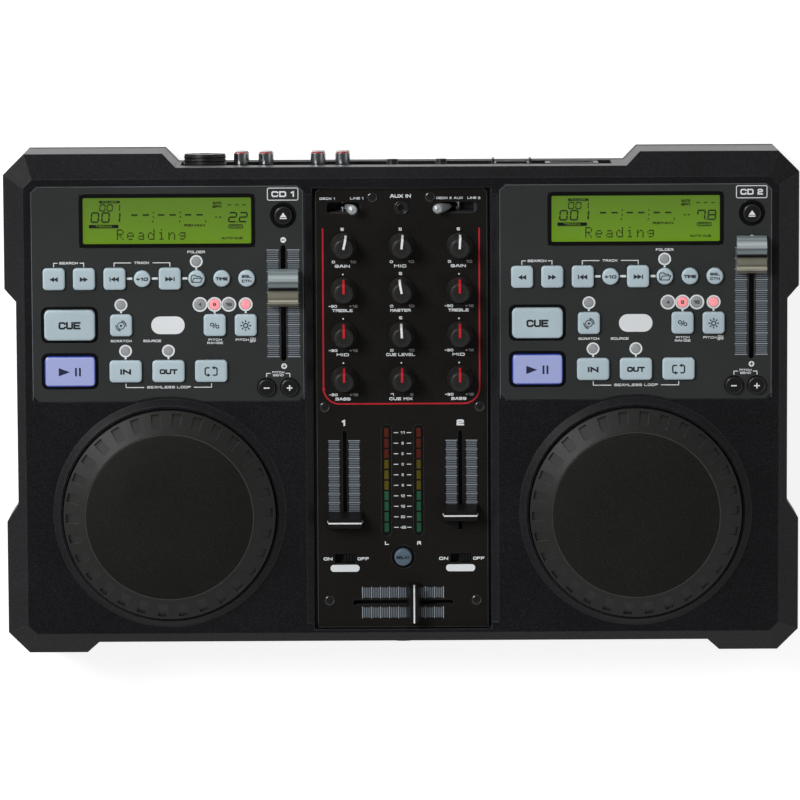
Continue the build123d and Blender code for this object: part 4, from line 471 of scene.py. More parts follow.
# %% Ink, glass and light
def ink(name, colour, cover=0.06, gloss=0.5, glow=0.0):
    """Printing ink with slightly uneven cover."""
    material, tree, shader = new_material(name)
    skin = use_group(
        tree, grain, Colour=colour, Fleck=colour, Size=0.6, Flecks=0.0, Cloud=cover,
        Roughness=gloss, Roughness_Spread=0.1,
    )
    tree.links.new(skin.outputs["Colour"], shader.inputs["Base Color"])
    tree.links.new(skin.outputs["Roughness"], shader.inputs["Roughness"])
    if glow:
        tree.links.new(skin.outputs["Colour"], shader.inputs["Emission Color"])
        shader.inputs["Emission Strength"].default_value = glow
    return material


white_ink = ink("ink_white", plain(232, 236, 238))
dim_ink = ink("ink_dim", plain(150, 152, 152))
red_ink = ink("ink_red", plain(190, 20, 34), cover=0.15)
tick_ink = ink("ink_tick_grey", plain(112, 121, 130))
long_tick_ink = ink("ink_long_tick", plain(160, 166, 174))
dark_ink = ink("ink_dark", plain(30, 33, 37))
black_ink = ink("ink_black", plain(20, 21, 23))
navy_ink = ink("ink_navy", plain(24, 28, 58))
# Flat black for painted shade: round the fader slots and at the screws.
felt_black = ink("felt_black", plain(6, 6, 6), gloss=0.9)
# Painted highlights along the edges of the deck plates and the mixer plate.
plate_edge_highlight = ink("plate_edge_highlight", plain(112, 118, 122), cover=0.3, gloss=0.3)
mixer_edge_highlight = ink("mixer_edge_highlight", plain(70, 70, 68), cover=0.4, gloss=0.3)
jog_line_grey = ink("jog_line_grey", plain(74, 76, 74), gloss=0.3)
knob_line_grey = ink("knob_line_grey", plain(78, 79, 80), gloss=0.3)
lamp_grey = ink("lamp_grey", plain(158, 162, 164), gloss=0.3)
lamp_pink = ink("lamp_pink", plain(246, 150, 158), gloss=0.3, glow=0.35)
window_glass = new_material(
    "window_glass", Base_Color=(0.96, 0.98, 0.97, 1.0), Transmission_Weight=1.0,
    Roughness=0.02, IOR=1.25,
)[0]
print(len(bpy.data.materials), "materials so far")

# %% [markdown]
# ## Helpers for meshes
# Every new piece starts as an empty bmesh in panel millimetres. Three shapes cover nearly
# all of it: a loft through rings of points, a stroke that follows a line with mitred corners,
# and a tablet, a flat filled outline with a little thickness. Prints are real meshes a few
# hundredths of a millimetre thick, because ink stands on the surface too.

# %% Loft, stroke and tablet
def loft(bm, rings, closed_start=True, closed_end=True):
    """Skin a list of rings, each with the same number of points."""
    skin = [[bm.verts.new(point) for point in ring] for ring in rings]
    count = len(skin[0])
    for low, high in zip(skin, skin[1:]):
        for i in range(count):
            j = (i + 1) % count
            bm.faces.new((low[i], low[j], high[j], high[i]))
    if closed_start:
        bm.faces.new(list(reversed(skin[0])))
    if closed_end:
        bm.faces.new(skin[-1])


def tablet(bm, outline, bottom, height):
    """A flat filled outline from bottom up to bottom + height."""
    loft(bm, [[(x, y, bottom) for x, y in outline], [(x, y, bottom + height) for x, y in outline]])


def stroke(bm, points, width, bottom, height, closed=False):
    """A line of constant width with mitred corners."""
    path = [Vector(point) for point in points]
    count = len(path)
    sides = []
    for i, point in enumerate(path):
        before = path[i - 1] if closed or i > 0 else None
        after = path[(i + 1) % count] if closed or i < count - 1 else None
        into = (point - before).normalized() if before is not None else None
        out = (after - point).normalized() if after is not None else None
        into = into or out
        out = out or into
        normal = Vector((-into.y, into.x)) + Vector((-out.y, out.x))
        normal = normal.normalized() if normal.length > 1e-6 else Vector((-into.y, into.x))
        reach = width / 2 / max(0.5, normal.dot(Vector((-into.y, into.x))))
        sides.append((point + normal * reach, point - normal * reach))
    rows = [
        [bm.verts.new((side.x, side.y, level)) for side, level in (
            (left, bottom), (right, bottom), (right, bottom + height), (left, bottom + height))]
        for left, right in sides
    ]
    for i in range(count if closed else count - 1):
        here, there = rows[i], rows[(i + 1) % count]
        for k in range(4):
            m = (k + 1) % 4
            bm.faces.new((here[k], here[m], there[m], there[k]))
    if not closed:
        bm.faces.new(list(reversed(rows[0])))
        bm.faces.new(rows[-1])


def turns(count):
    """Equal steps once round a circle, in radians."""
    return [2 * math.pi * i / count for i in range(count)]


def arc(u, v, radius, start=0.0, end=360.0, steps=32):
    """Points on a circle or part of one, in degrees from the right, anticlockwise."""
    full = abs(end - start) >= 360
    count = steps if full else steps + 1
    angles = [math.radians(start + (end - start) * i / steps) for i in range(count)]
    return [(u + radius * math.cos(angle), v + radius * math.sin(angle)) for angle in angles]


def pad(u, v, width, depth, corner, steps=6):
    """The outline of a rectangle with rounded corners."""
    points = []
    for side_u, side_v, start in ((1, 1, 0), (-1, 1, 90), (-1, -1, 180), (1, -1, 270)):
        points += arc(
            u + side_u * (width / 2 - corner), v + side_v * (depth / 2 - corner), corner,
            start, start + 90, steps,
        )
    return points


def piece(name, bm, material, body, board=PANEL, stands_for=(), smooth=30.0):
    """Turn a bmesh into a piece that rides on a body, with a material."""
    bmesh.ops.recalc_face_normals(bm, faces=bm.faces)
    mesh = bpy.data.meshes.new(name)
    bm.to_mesh(mesh)
    bm.free()
    mesh.transform(board)
    mesh.shade_smooth()
    mesh.set_sharp_from_angle(angle=math.radians(smooth))
    thing = bpy.data.objects.new(name, mesh)
    bpy.context.scene.collection.objects.link(thing)
    mesh.materials.append(material)
    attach(thing, body)
    if stands_for:
        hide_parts(*stands_for)
    return thing


print("mesh helpers ready")

# %% [markdown]
# ## Lettering
# The legends are wide, square letters with cut corners. A font file would have to be loaded,
# so the letters are drawn here: each is one or more strokes on a grid of six by six, written
# as pairs of digits. The stroke helper gives them their weight.

# %% A stroke alphabet
LETTERS = {
    "A": "00 26 46 60|12 52", "B": "03 53 64 65 56 06 00 50 61 62 53",
    "C": "65 56 16 05 01 10 50 61", "D": "00 06 56 65 61 50 00", "E": "66 06 00 60|03 53",
    "F": "66 06 00|03 53", "G": "65 56 16 05 01 10 50 61 63 33", "H": "00 06|60 66|03 63",
    "I": "00 06", "J": "66 61 50 10 01", "K": "00 06|66 33 60|03 33", "L": "06 00 60",
    "M": "00 06 33 66 60", "N": "00 06 60 66", "O": "10 50 61 65 56 16 05 01 10",
    "P": "00 06 56 65 64 53 03", "Q": "10 50 61 65 56 16 05 01 10|42 60",
    "R": "00 06 56 65 64 53 03|33 60", "S": "65 56 16 05 04 13 53 62 61 50 10 01",
    "T": "06 66|36 30", "U": "06 01 10 50 61 66", "V": "06 30 66", "W": "06 10 34 50 66",
    "X": "00 66|06 60", "Y": "06 33 66|33 30", "Z": "06 66 00 60",
    "0": "10 40 51 55 46 16 05 01 10", "1": "05 26 20",
    "2": "05 16 46 55 54 43 13 02 00 50", "3": "05 16 46 55 54 43 52 51 40 10 01|13 43",
    "4": "40 46 02 52", "5": "56 06 03 43 52 51 40 10 01",
    "6": "55 46 16 05 01 10 40 51 52 43 03", "7": "06 56 20",
    "8": "13 04 05 16 46 55 54 43 52 51 40 10 01 02 13|13 43",
    "9": "01 10 40 51 55 46 16 05 04 13 53", "-": "13 43", "+": "03 43|21 25", "/": "00 46",
    ".": "00 01", ":": "01 02|04 05",
}


def letter_strokes(text):
    """The strokes of a line of text on the letter grid, and the line's length."""
    strokes, reach = [], 0.0
    for character in text:
        if character == " ":
            reach += 4.0
            continue
        drawn = [
            [(int(pair[0]), int(pair[1])) for pair in part.split()]
            for part in LETTERS[character].split("|")
        ]
        strokes += [[(reach + x, y) for x, y in part] for part in drawn]
        reach += max(x for part in drawn for x, _ in part) + 2.4
    return strokes, max(reach - 2.4, 0.0)


def write(bm, text, u, v, length, height, level, weight=0.27, thick=0.04):
    """Write a line of text centred on u and v, fitted to a length and a height."""
    strokes, reach = letter_strokes(text)
    width = height * weight
    across = (length - width) / reach if reach else 0.0
    upward = (height - width) / 6
    for i, part in enumerate(strokes):
        ends = [Vector((x * across, y * upward)) for x, y in part]
        closed = part[0] == part[-1]
        if closed:
            ends = ends[:-1]
        else:
            ends[0] += (ends[0] - ends[1]).normalized() * width / 2
            ends[-1] += (ends[-1] - ends[-2]).normalized() * width / 2
        shift = Vector((u - reach * across / 2, v - 3 * upward))
        lift = thick + 0.004 * (i % 3)
        stroke(bm, [end + shift for end in ends], width, level, lift, closed)


print(len(LETTERS), "characters drawn")

# %% [markdown]
# ## Legends of the decks
# Both decks carry the same prints: brackets that join a legend to its keys, white rings round
# the lamps with a tail that points at a key, bars between the track keys, and the scale
# beside the pitch fader. They are collected by ink, so each ink is one piece.

# %% Words, brackets and bars of a deck
INK = 0.04
KEY_ROW = 70.0  # v of the row of small keys
DECK_WORDS = (
    ("SEARCH", -55.0, 78.9, 10.4, 1.35), ("TRACK", -14.3, 78.9, 8.4, 1.35),
    ("FOLDER", 16.1, 84.9, 9.8, 1.4), ("SCRATCH", -26.2, 34.7, 11.6, 1.35),
    ("SOURCE", -8.9, 34.7, 10.0, 1.35), ("PITCH", 26.2, 35.2, 7.5, 1.25),
    ("RANGE", 26.2, 33.4, 8.8, 1.25), ("PITCH", 41.3, 35.1, 7.4, 1.3),
    ("ON", 47.3, 35.7, 3.0, 1.1), ("OFF", 47.3, 34.1, 3.4, 1.1),
    ("SEAMLESS LOOP", 0.2, 8.4, 24.4, 1.4), ("PITCH", 61.3, 16.5, 6.8, 1.2),
    ("BEND", 61.3, 14.9, 6.0, 1.2),
)  # words, u, v, length and height
BRACKETS = (
    ((-63.4, 76.6), (-63.4, 78.9), (-61.2, 78.9)), ((-46.6, 76.6), (-46.6, 78.9), (-48.8, 78.9)),
    ((-29.7, 76.6), (-29.7, 78.9), (-20.2, 78.9)), ((1.4, 76.6), (1.4, 78.9), (-8.2, 78.9)),
    ((-23.7, 10.5), (-23.7, 8.3), (-13.6, 8.3)), ((24.0, 10.5), (24.0, 8.3), (14.1, 8.3)),
    ((54.8, 13.8), (54.8, 15.9), (57.2, 15.9)), ((67.7, 13.8), (67.7, 15.9), (65.4, 15.9)),
)
ON_OFF_BAR = ((45.6, 34.9), (49.0, 34.9))
TRACK_BARS = ((-22.7, -19.6), (-8.75, -5.4), (8.3, 11.1))


def deck_line(sheet, deck_u, points, width=0.45, closed=False):
    """A printed line on one deck."""
    stroke(sheet, [(deck_u + u, v) for u, v in points], width, DECK_TOP, INK, closed)


def print_legends(sheet, deck_u):
    """The words of one deck, and the brackets and bars that go with them."""
    for words, u, v, length, height in DECK_WORDS:
        write(sheet, words, deck_u + u, v, length, height, DECK_TOP, 0.22)
    for points in BRACKETS:
        deck_line(sheet, deck_u, points)
    deck_line(sheet, deck_u, ON_OFF_BAR, 0.25)
    for start, end in TRACK_BARS:
        deck_line(sheet, deck_u, ((start, KEY_ROW), (end, KEY_ROW)), 1.25)


print(len(DECK_WORDS), "legends on a deck")

# %% Rings, capsule and number box of a deck
LAMPS = (
    (16.1, 79.6, 2.4), (-26.1, 55.1, 2.4), (18.0, 55.2, 3.0), (26.1, 55.2, 3.0),
    (34.0, 55.2, 3.0), (43.4, 55.2, 2.7), (-23.8, 29.0, 2.4), (0.1, 29.0, 2.4),
)  # u, v and radius
TAILED_LAMPS = (0, 1, 3, 5, 6, 7)
NUMBER_BOX = (64.5, 117.3)


def print_rings(sheet, deck_u):
    """Rings round the lamps, and tails that point at their keys."""
    for u, v, radius in LAMPS:
        deck_line(sheet, deck_u, arc(u, v, radius + 0.7), 0.95, True)
    for u, v, radius in [LAMPS[i] for i in TAILED_LAMPS]:
        deck_line(sheet, deck_u, ((u, v - radius - 0.9), (u, v - radius - 2.3)), 1.1)


def print_boxes(sheet, deck_u, number):
    """The bare capsule, and the box with the deck's number."""
    tablet(sheet, pad(deck_u, 43.5, 18.7, 10.0, 4.9), DECK_TOP, INK)
    u, v = NUMBER_BOX
    deck_line(sheet, deck_u, pad(u, v, 17.0, 6.8, 0.9), closed=True)
    write(sheet, f"CD {number}", deck_u + u, v, 12.6, 3.3, DECK_TOP, 0.24)


print(len(LAMPS), "lamps on a deck")

# %% Pitch scale, and a painted highlight along the edge of a deck
PITCH_SCALE_U = (58.65, 70.2)  # middles of the two columns of ticks
PITCH_SCALE_REAR = 85.8
PITCH_SCALE_LENGTH = 60.4
PITCH_END_U = 64.6
MINUS_V, PLUS_V = 91.4, 20.0


def print_ticks(short, tall, middle, start, length, count, short_tick, tall_tick, level,
                lies=False):
    """A row of ticks from start over a length: every fifth one is longer, in another ink.

    A tick is given as half its length and its width.
    """
    for i in range(count + 1):
        sheet, (half, width) = (short, short_tick) if i % 5 else (tall, tall_tick)
        step = start + length * i / count
        ends = [(middle - half, step), (middle + half, step)]
        if lies:
            ends = [(v, u) for u, v in ends]
        stroke(sheet, ends, width, level, INK)


def print_pitch_scale(white, short, tall, signs, deck_u):
    """White discs with a minus and a plus at the ends, and ticks 1.2 mm apart."""
    end_u = deck_u + PITCH_END_U
    for v in (MINUS_V, PLUS_V):
        tablet(white, arc(end_u, v, 1.6, steps=20), DECK_TOP, INK)
        stroke(signs, [(end_u - 1.0, v), (end_u + 1.0, v)], 0.5, DECK_TOP + INK, INK)
    upright = [(end_u, PLUS_V - 1.0), (end_u, PLUS_V + 1.0)]
    stroke(signs, upright, 0.5, DECK_TOP + INK, INK)
    for u in PITCH_SCALE_U:
        print_ticks(short, tall, deck_u + u, PITCH_SCALE_REAR, -PITCH_SCALE_LENGTH, 50,
                    (3.1, 0.62), (3.45, 0.5), DECK_TOP)


def mirrored(corners):
    """The corners on the left of a plate, and the same on its right."""
    return [*corners, *[(-u, v) for u, v in reversed(corners)]]


# A light line just inside the plate's edge: a painted highlight where the edge catches the light.
DECK_HIGHLIGHT_LINE = mirrored([(-75.6, 1.2), (-75.6, 118.7), (-72.4, 121.8)])
print("pitch scale", PITCH_SCALE_LENGTH, "mm long")

# %% Print the decks
DECK_INKS = {
    "white": white_ink, "grey": tick_ink, "pale": long_tick_ink, "signs": black_ink,
    "edge": plate_edge_highlight,
}
for number, deck_u in DECKS:
    white, short, tall, signs, highlight_sheet = sheets = [bmesh.new() for _ in DECK_INKS]
    print_legends(white, deck_u)
    print_rings(white, deck_u)
    print_pitch_scale(white, short, tall, signs, deck_u)
    print_boxes(white, deck_u, number)
    # The edge sheet is a painted highlight, though it goes out with the prints.
    edge_highlight_line = [(deck_u + u, v) for u, v in DECK_HIGHLIGHT_LINE]
    stroke(highlight_sheet, edge_highlight_line, 0.26, DECK_TOP - 0.1, 0.12)
    for sheet, (shade, material) in zip(sheets, DECK_INKS.items()):
        piece(f"deck_print_{shade}_{number}", sheet, material, "console")
print("decks printed")

# %% [markdown]
# ## Legends of the mixer
# The mixer plate has a red frame round its knobs, numbers and a name at every knob, ticks
# beside the faders and a scale between the meters. The numbers at the loud end are printed
# dimmer than the others.

# %% Names and numbers of the knobs
KNOB_COLUMN = 32.35
KNOB_ROWS = (87.4, 62.3, 37.2, 12.1)
KNOB_NAMES = (("GAIN", "MIC", "GAIN"), ("TREBLE", "MASTER", "TREBLE"),
              ("MID", "CUE LEVEL", "MID"), ("BASS", "CUE MIX", "BASS"))
white, dim, red, short, tall = (bmesh.new() for _ in range(5))


def mixer_text(words, u, v, length, height, weight=0.25, sheet=white):
    """Write on the mixer plate."""
    write(sheet, words, u, v, length, height, MIXER_TOP, weight)


for row, (v, names) in enumerate(zip(KNOB_ROWS, KNOB_NAMES)):
    for column, name in zip((-1, 0, 1), names):
        u = column * KNOB_COLUMN
        mixer_text(name, u - 0.7, v - 11.5, 1.55 * len(name) + 2.2, 1.65)
        if row == 0 or column == 0 and row < 3:
            low, high, top = "0", "10", "5"
        elif column == 0:
            low, high, top = "1", "2", None
        else:
            low, high, top = "-30", "+12", None
        mixer_text(low, u - 5.6 - 0.6 * (len(low) > 1), v - 9.1, 1.6 * len(low) + 0.2, 1.5)
        mixer_text(high, u + 5.4, v - 9.1, 1.5 * len(high) + 0.2, 1.5, sheet=dim)
        if top:
            mixer_text(top, u - 0.6, v + 9.3, 1.8, 1.7)
        else:
            tablet(white, pad(u - 0.4, v + 8.9, 0.9, 0.9, 0.4), MIXER_TOP, INK)
print("knobs lettered")

# %% Words, red frame and meter scale of the mixer
METER_U = 9.0
METER_ROWS = [-18.7 - 6.0 * i for i in range(10)]
METER_MARKS = ("11", "8", "5", "0", "5", "9", "12", "15", "20", "-25")
MIXER_WORDS = (
    ("DECK 1", -41.2, 114.1, 8.4, 1.25, 0.21), ("LINE 1", -24.8, 114.2, 7.3, 1.25, 0.21),
    ("DECK 2", 23.8, 114.2, 8.5, 1.25, 0.21), ("AUX", 31.8, 114.2, 5.0, 1.25, 0.21),
    ("LINE 2", 40.4, 114.2, 7.2, 1.25, 0.21), ("AUX IN", -0.4, 115.4, 11.6, 2.0, 0.25),
    ("1", -32.9, -13.0, 1.8, 3.4, 0.28), ("2", 32.4, -13.0, 4.2, 3.4, 0.28),
    ("L", -9.0, -81.7, 2.2, 2.0, 0.26), ("R", 9.1, -81.7, 2.2, 2.0, 0.26),
)  # words, u, v, length, height and weight
SWITCH_U, SWITCH_V = 32.4, -90.6
FRAME_CORNER = 9.0
for line_of_text in MIXER_WORDS:
    mixer_text(*line_of_text)
for v, mark in zip(METER_ROWS, METER_MARKS):
    mixer_text(mark, 0.1, v, 1.15 * len(mark), 1.5, 0.18)
    for start, end in ((-4.9, -2.4), (2.4, 4.9)):
        stroke(white, [(start, v), (end, v)], 0.4, MIXER_TOP, INK)
for u in (-SWITCH_U, SWITCH_U):
    mixer_text("ON", u - 9.6, SWITCH_V, 5.0, 1.75)
    mixer_text("OFF", u + 10.1, SWITCH_V, 6.4, 1.75)
    tablet(white, pad(u - 0.1, -96.0, 16.3, 4.0, 1.9), MIXER_TOP, INK)
red_frame = [
    (-43.9, 97.3), (-43.9, 6.8), *arc(-34.9, 6.8, FRAME_CORNER, 180, 270, 8),
    *arc(34.3, 6.8, FRAME_CORNER, 270, 360, 8), (43.3, 97.3),
]
stroke(red, red_frame, 0.85, MIXER_TOP, INK)
print(len(MIXER_WORDS), "more words on the mixer")

# %% Ticks of the faders, painted shade round their slots, and a painted highlight on the plate's edge
FADER_U, FADER_V = 32.3, -45.8  # middle of a channel fader's slot
CROSS_V = -115.7
FADER_SLOTS = (
    (-FADER_U, FADER_V, 2.2, 56.6), (FADER_U, FADER_V, 2.2, 56.6), (0.0, CROSS_V, 56.4, 3.0),
)  # u, v, width and depth
SLOT_SHADE_WIDTH = 0.5
TICKS = 45
TICKED_LENGTH = 45.36
for u in (-38.35, -27.05, 27.35, 38.65):
    print_ticks(short, tall, u, -23.2, -TICKED_LENGTH, TICKS, (2.9, 0.55), (3.25, 0.45), MIXER_TOP)
for v in (-110.0, -121.4):
    print_ticks(short, tall, v, -22.8, TICKED_LENGTH, TICKS, (2.9, 0.55), (3.3, 0.45), MIXER_TOP,
                lies=True)
for shade, sheet, material in (
    ("white", white, white_ink), ("dim", dim, dim_ink), ("red", red, red_ink),
    ("grey", short, tick_ink), ("pale", tall, long_tick_ink),
):
    piece(f"mixer_print_{shade}", sheet, material, "console")
# A black ring round each slot is painted shade that widens the dark of the opening.
felt = bmesh.new()
for u, v, width, depth in FADER_SLOTS:
    corner = min(width, depth) / 2 + SLOT_SHADE_WIDTH / 2
    stroke(felt, pad(u, v, width + SLOT_SHADE_WIDTH, depth + SLOT_SHADE_WIDTH, corner), SLOT_SHADE_WIDTH, MIXER_TOP - 0.02, 0.05, True)
piece("fader_slot_felts", felt, felt_black, "console")
# A light line just inside the mixer plate's edge: a painted highlight.
mixer_highlight_sheet = bmesh.new()
MIXER_HIGHLIGHT_LINE = mirrored([(-47.6, -129.6), (-47.6, 117.4), (-45.4, 119.7)])
stroke(mixer_highlight_sheet, MIXER_HIGHLIGHT_LINE, 0.24, MIXER_TOP - 0.1, 0.12, True)
piece("mixer_print_edge", mixer_highlight_sheet, mixer_edge_highlight, "console")
print("mixer printed")

# %% [markdown]
# ## Key caps
# The caps are lofts: one outline, drawn in and raised step by step so that the rim rolls over
# into a face that is crowned by less than a tenth of a millimetre. Light slides over such a
# cap, where a flat one would turn on and off like a mirror. The caps stand for the CAD keys
# and keep their outlines.

# %% Roll a key cap
KEY_KINDS = {
    "square": (12.3, 12.3, 2.1), "round": (9.3, 9.3, 4.64), "bend": (10.1, 10.1, 5.04),
    "loop": (18.0, 12.4, 2.1), "large": (28.3, 17.1, 3.0), "eject": (10.3, 10.3, 5.14),
    "relay": (9.8, 9.8, 4.89),
}  # width, depth and corner radius
CAP_STEPS = (
    (0.0, -2.0), (0.0, 1.1), (0.09, 1.5), (0.26, 1.82), (0.5, 2.03), (0.85, 2.13), (1.5, 2.18),
    (2.6, KEY_RISE),
)  # how far the outline is drawn in, and its height over the plate


def key_cap(bm, kind, u, v, top=DECK_TOP):
    """Add a cap with a rolled rim and a slightly crowned face."""
    width, depth, corner = KEY_KINDS[kind]
    rings = []
    for inset, rise in CAP_STEPS:
        ring = pad(u, v, width - 2 * inset, depth - 2 * inset, max(corner - inset, 0.25), 8)
        rings.append([(x, y, top + rise) for x, y in ring])
    loft(bm, rings)


print("cap profile has", len(CAP_STEPS), "steps")

# %% Places of the keys
LARGE_U = -54.8
CUE_V, PLAY_V = 43.9, 17.6
LOOP_V, BEND_V = 17.6, 8.0
BENDS_U = (54.8, 67.6)
EJECT_AT = (64.7, 105.4)
RELAY_AT = (0.1, -89.6)
TRANSPORT = (
    ("square", -63.3, KEY_ROW), ("square", -46.5, KEY_ROW), ("square", -29.5, KEY_ROW),
    ("round", -14.1, KEY_ROW), ("square", 1.3, KEY_ROW),
)
FUNCTION = (
    ("round", 16.2, KEY_ROW), ("round", 30.2, KEY_ROW), ("round", 44.1, KEY_ROW),
    ("square", -26.1, 43.7), ("square", 26.1, 43.6), ("square", 43.4, 43.5),
)
LOOPS = [("loop", u, LOOP_V) for u in (-23.8, 0.1, 23.9)]
BENDS = [("bend", u, BEND_V) for u in BENDS_U]
print(len(TRANSPORT) + len(FUNCTION) + len(LOOPS) + len(BENDS) + 3, "keys on a deck")

# %% [markdown]
# The play key is lit from inside: lavender in the middle and a deeper blue at its rim, where
# the silicone is thicker. A Layer Weight would follow the viewer, so the blue comes from the
# distance to the middle of the key instead, which stays put from all sides.

# %% Finish of the play key
PLAY_RIM = 1.5  # how far in from its edge the key is blue


def play_material(name, deck_u):
    """Lavender silicone that deepens to blue at the rim of one key."""
    material, tree, shader = new_material(name, Roughness=0.4)
    middle = PANEL @ Vector((deck_u + LARGE_U, PLAY_V, 0.0))
    where = place(tree, "TexCoord").outputs["Object"]
    reach = place(tree, "VectorMath", {"operation": "SUBTRACT"}, in0=where, in1=middle).outputs[0]
    parts = place(tree, "SeparateXYZ", Vector=reach).outputs
    width, depth, _ = KEY_KINDS["large"]
    beyond = [
        maths(tree, "SUBTRACT", maths(tree, "ABSOLUTE", parts[axis]), size / 2 * MM)
        for axis, size in enumerate((width, depth))
    ]
    nearest = maths(tree, "MAXIMUM", *beyond)
    rim = place(tree, "ValToRGB", Fac=remap(tree, nearest, -PLAY_RIM * MM, 0.0, 0.0, 1.0))
    lavender, blue = rim.color_ramp.elements
    lavender.color, blue.color = plain(160, 168, 216), plain(40, 62, 160)
    lavender.position, blue.position = 0.35, 0.75
    for title in ("Base Color", "Emission Color"):
        tree.links.new(rim.outputs[0], shader.inputs[title])
    shader.inputs["Emission Strength"].default_value = 0.12
    return material


print("play key finish ready")

# %% [markdown]
# The icons are the usual ones of a disc player: triangles for search and play, a folder, a
# disc with two arrows, a percent sign, a small sun and a loop. They are drawn with the same
# strokes and tablets as the legends and ride on their own keys.

# %% Triangles, folder and disc
OVERLAP = INK * 1.1  # thickness of a stroke that crosses another


def triangle(bm, u, v, width, height, level, heading=0.0):
    """A filled triangle that points right, or turned by a heading in degrees."""
    turn = Matrix.Rotation(math.radians(heading), 2)
    left, up = -width / 2, height / 2
    corners = [Vector((left, -up)), Vector((width / 2, 0)), Vector((left, up))]
    tablet(bm, [tuple(turn @ corner + Vector((u, v))) for corner in corners], level, INK)


def double_arrow(bm, u, v, heading, bar, level):
    """Two small triangles, with a bar beyond them for the track keys."""
    forward = 1 if heading == 0 else -1
    for shift in (-1.05, 1.05):
        triangle(bm, u + forward * shift, v, 2.5, 2.9, level, heading)
    if bar:
        bar_u = u + forward * 2.65
        stroke(bm, [(bar_u, v - 1.25), (bar_u, v + 1.25)], 0.6, level, INK)


def folder(bm, u, v, level):
    """An open folder."""
    back = ((-2.4, -1.9), (-2.9, -1.5), (-2.9, 1.5), (-2.3, 2.1), (-0.6, 2.1), (0.0, 1.4),
            (1.9, 1.4), (2.2, 1.0), (2.2, 0.5))
    front = ((-2.4, -1.9), (-1.4, 0.4), (3.2, 0.4), (2.2, -1.9))
    stroke(bm, [(u + x, v + y) for x, y in back], 0.5, level, INK)
    stroke(bm, [(u + x, v + y) for x, y in front], 0.5, level, OVERLAP, True)


def scratch_disc(bm, u, v, level):
    """A disc between two curved arrows."""
    stroke(bm, arc(u, v, 1.9, steps=24), 0.5, level, INK, True)
    tablet(bm, arc(u, v, 0.7, steps=16), level, INK)
    for side in (0, 180):
        stroke(bm, arc(u, v, 2.8, side - 10, side + 70, 8), 0.6, level, OVERLAP)
        tip = math.radians(side + 78)
        tip_u, tip_v = u + 2.75 * math.cos(tip), v + 2.75 * math.sin(tip)
        triangle(bm, tip_u, tip_v, 1.3, 1.3, level, side + 160)


print("arrows, folder and disc ready")

# %% Percent sign, sun and loop
def percent(bm, u, v, level):
    """A percent sign."""
    stroke(bm, [(u - 0.8, v - 1.5), (u + 0.8, v + 1.5)], 0.5, level, INK)
    stroke(bm, arc(u - 1.5, v + 0.6, 0.85, steps=16), 0.52, level, OVERLAP, True)
    stroke(bm, arc(u + 1.5, v - 0.6, 0.85, steps=16), 0.52, level, OVERLAP, True)


def small_sun(bm, u, v, level):
    """A ring with eight rays."""
    stroke(bm, arc(u, v, 1.15, steps=20), 0.62, level, INK, True)
    middle = Vector((u, v))
    for i in range(8):
        turn = math.radians(45 * i)
        ray = Vector((math.cos(turn), math.sin(turn)))
        stroke(bm, [middle + ray * 1.8, middle + ray * 3.0], 0.68, level, INK)


def loop_arrows(bm, u, v, level):
    """Two halves of a loop, each with an arrow."""
    half = ((0.9, -2.1), (2.7, -2.1), (3.3, -1.5), (3.3, 1.5), (2.7, 2.1), (1.9, 2.1))
    for side in (1, -1):
        stroke(bm, [(u + side * x, v + side * y) for x, y in half], 0.75, level, INK)
        heading = 180 if side > 0 else 0
        triangle(bm, u + side * 1.1, v + 2.1 * side, 1.7, 2.0, level, heading)


print("percent sign, sun and loop ready")

# %% Caps of both decks and of the relay button
for number, deck_u in DECKS:
    lavender = play_material(f"play_key_lavender_{number}", deck_u)
    for name, keys, material, owner, slot in (
        ("transport_keys_caps", TRANSPORT, key_skin, "transport_keys", "key"),
        ("function_keys_caps", FUNCTION, key_skin, "function_keys", "key"),
        ("loop_keys_caps", LOOPS, key_skin, "loop_keys", "key"),
        ("bend_keys_caps", BENDS, black_key_skin, "loop_keys", "key"),
        ("cue_key_cap", [("large", LARGE_U, CUE_V)], key_skin, "cue_key", "key"),
        ("play_key_cap", [("large", LARGE_U, PLAY_V)], lavender, "play_key", "play_key"),
        ("eject_key_cap", [("eject", *EJECT_AT)], black_key_skin, "eject_key", "key"),
    ):
        caps = bmesh.new()
        for kind, u, v in keys:
            key_cap(caps, kind, deck_u + u, v)
        body = f"{owner}_{number}"
        piece(f"{name}_{number}", caps, material, body, stands_for=(body,))
relay_cap = bmesh.new()
key_cap(relay_cap, "relay", *RELAY_AT, MIXER_TOP)
piece("relay_cap", relay_cap, relay_skin, "relay_button", stands_for=("relay_button",))
print("key caps placed")

# %% Marks of the small keys, and of the large ones
ARROWS = ((-63.3, 180, False), (-46.5, 0, False), (-29.3, 180, True), (1.1, 0, True))


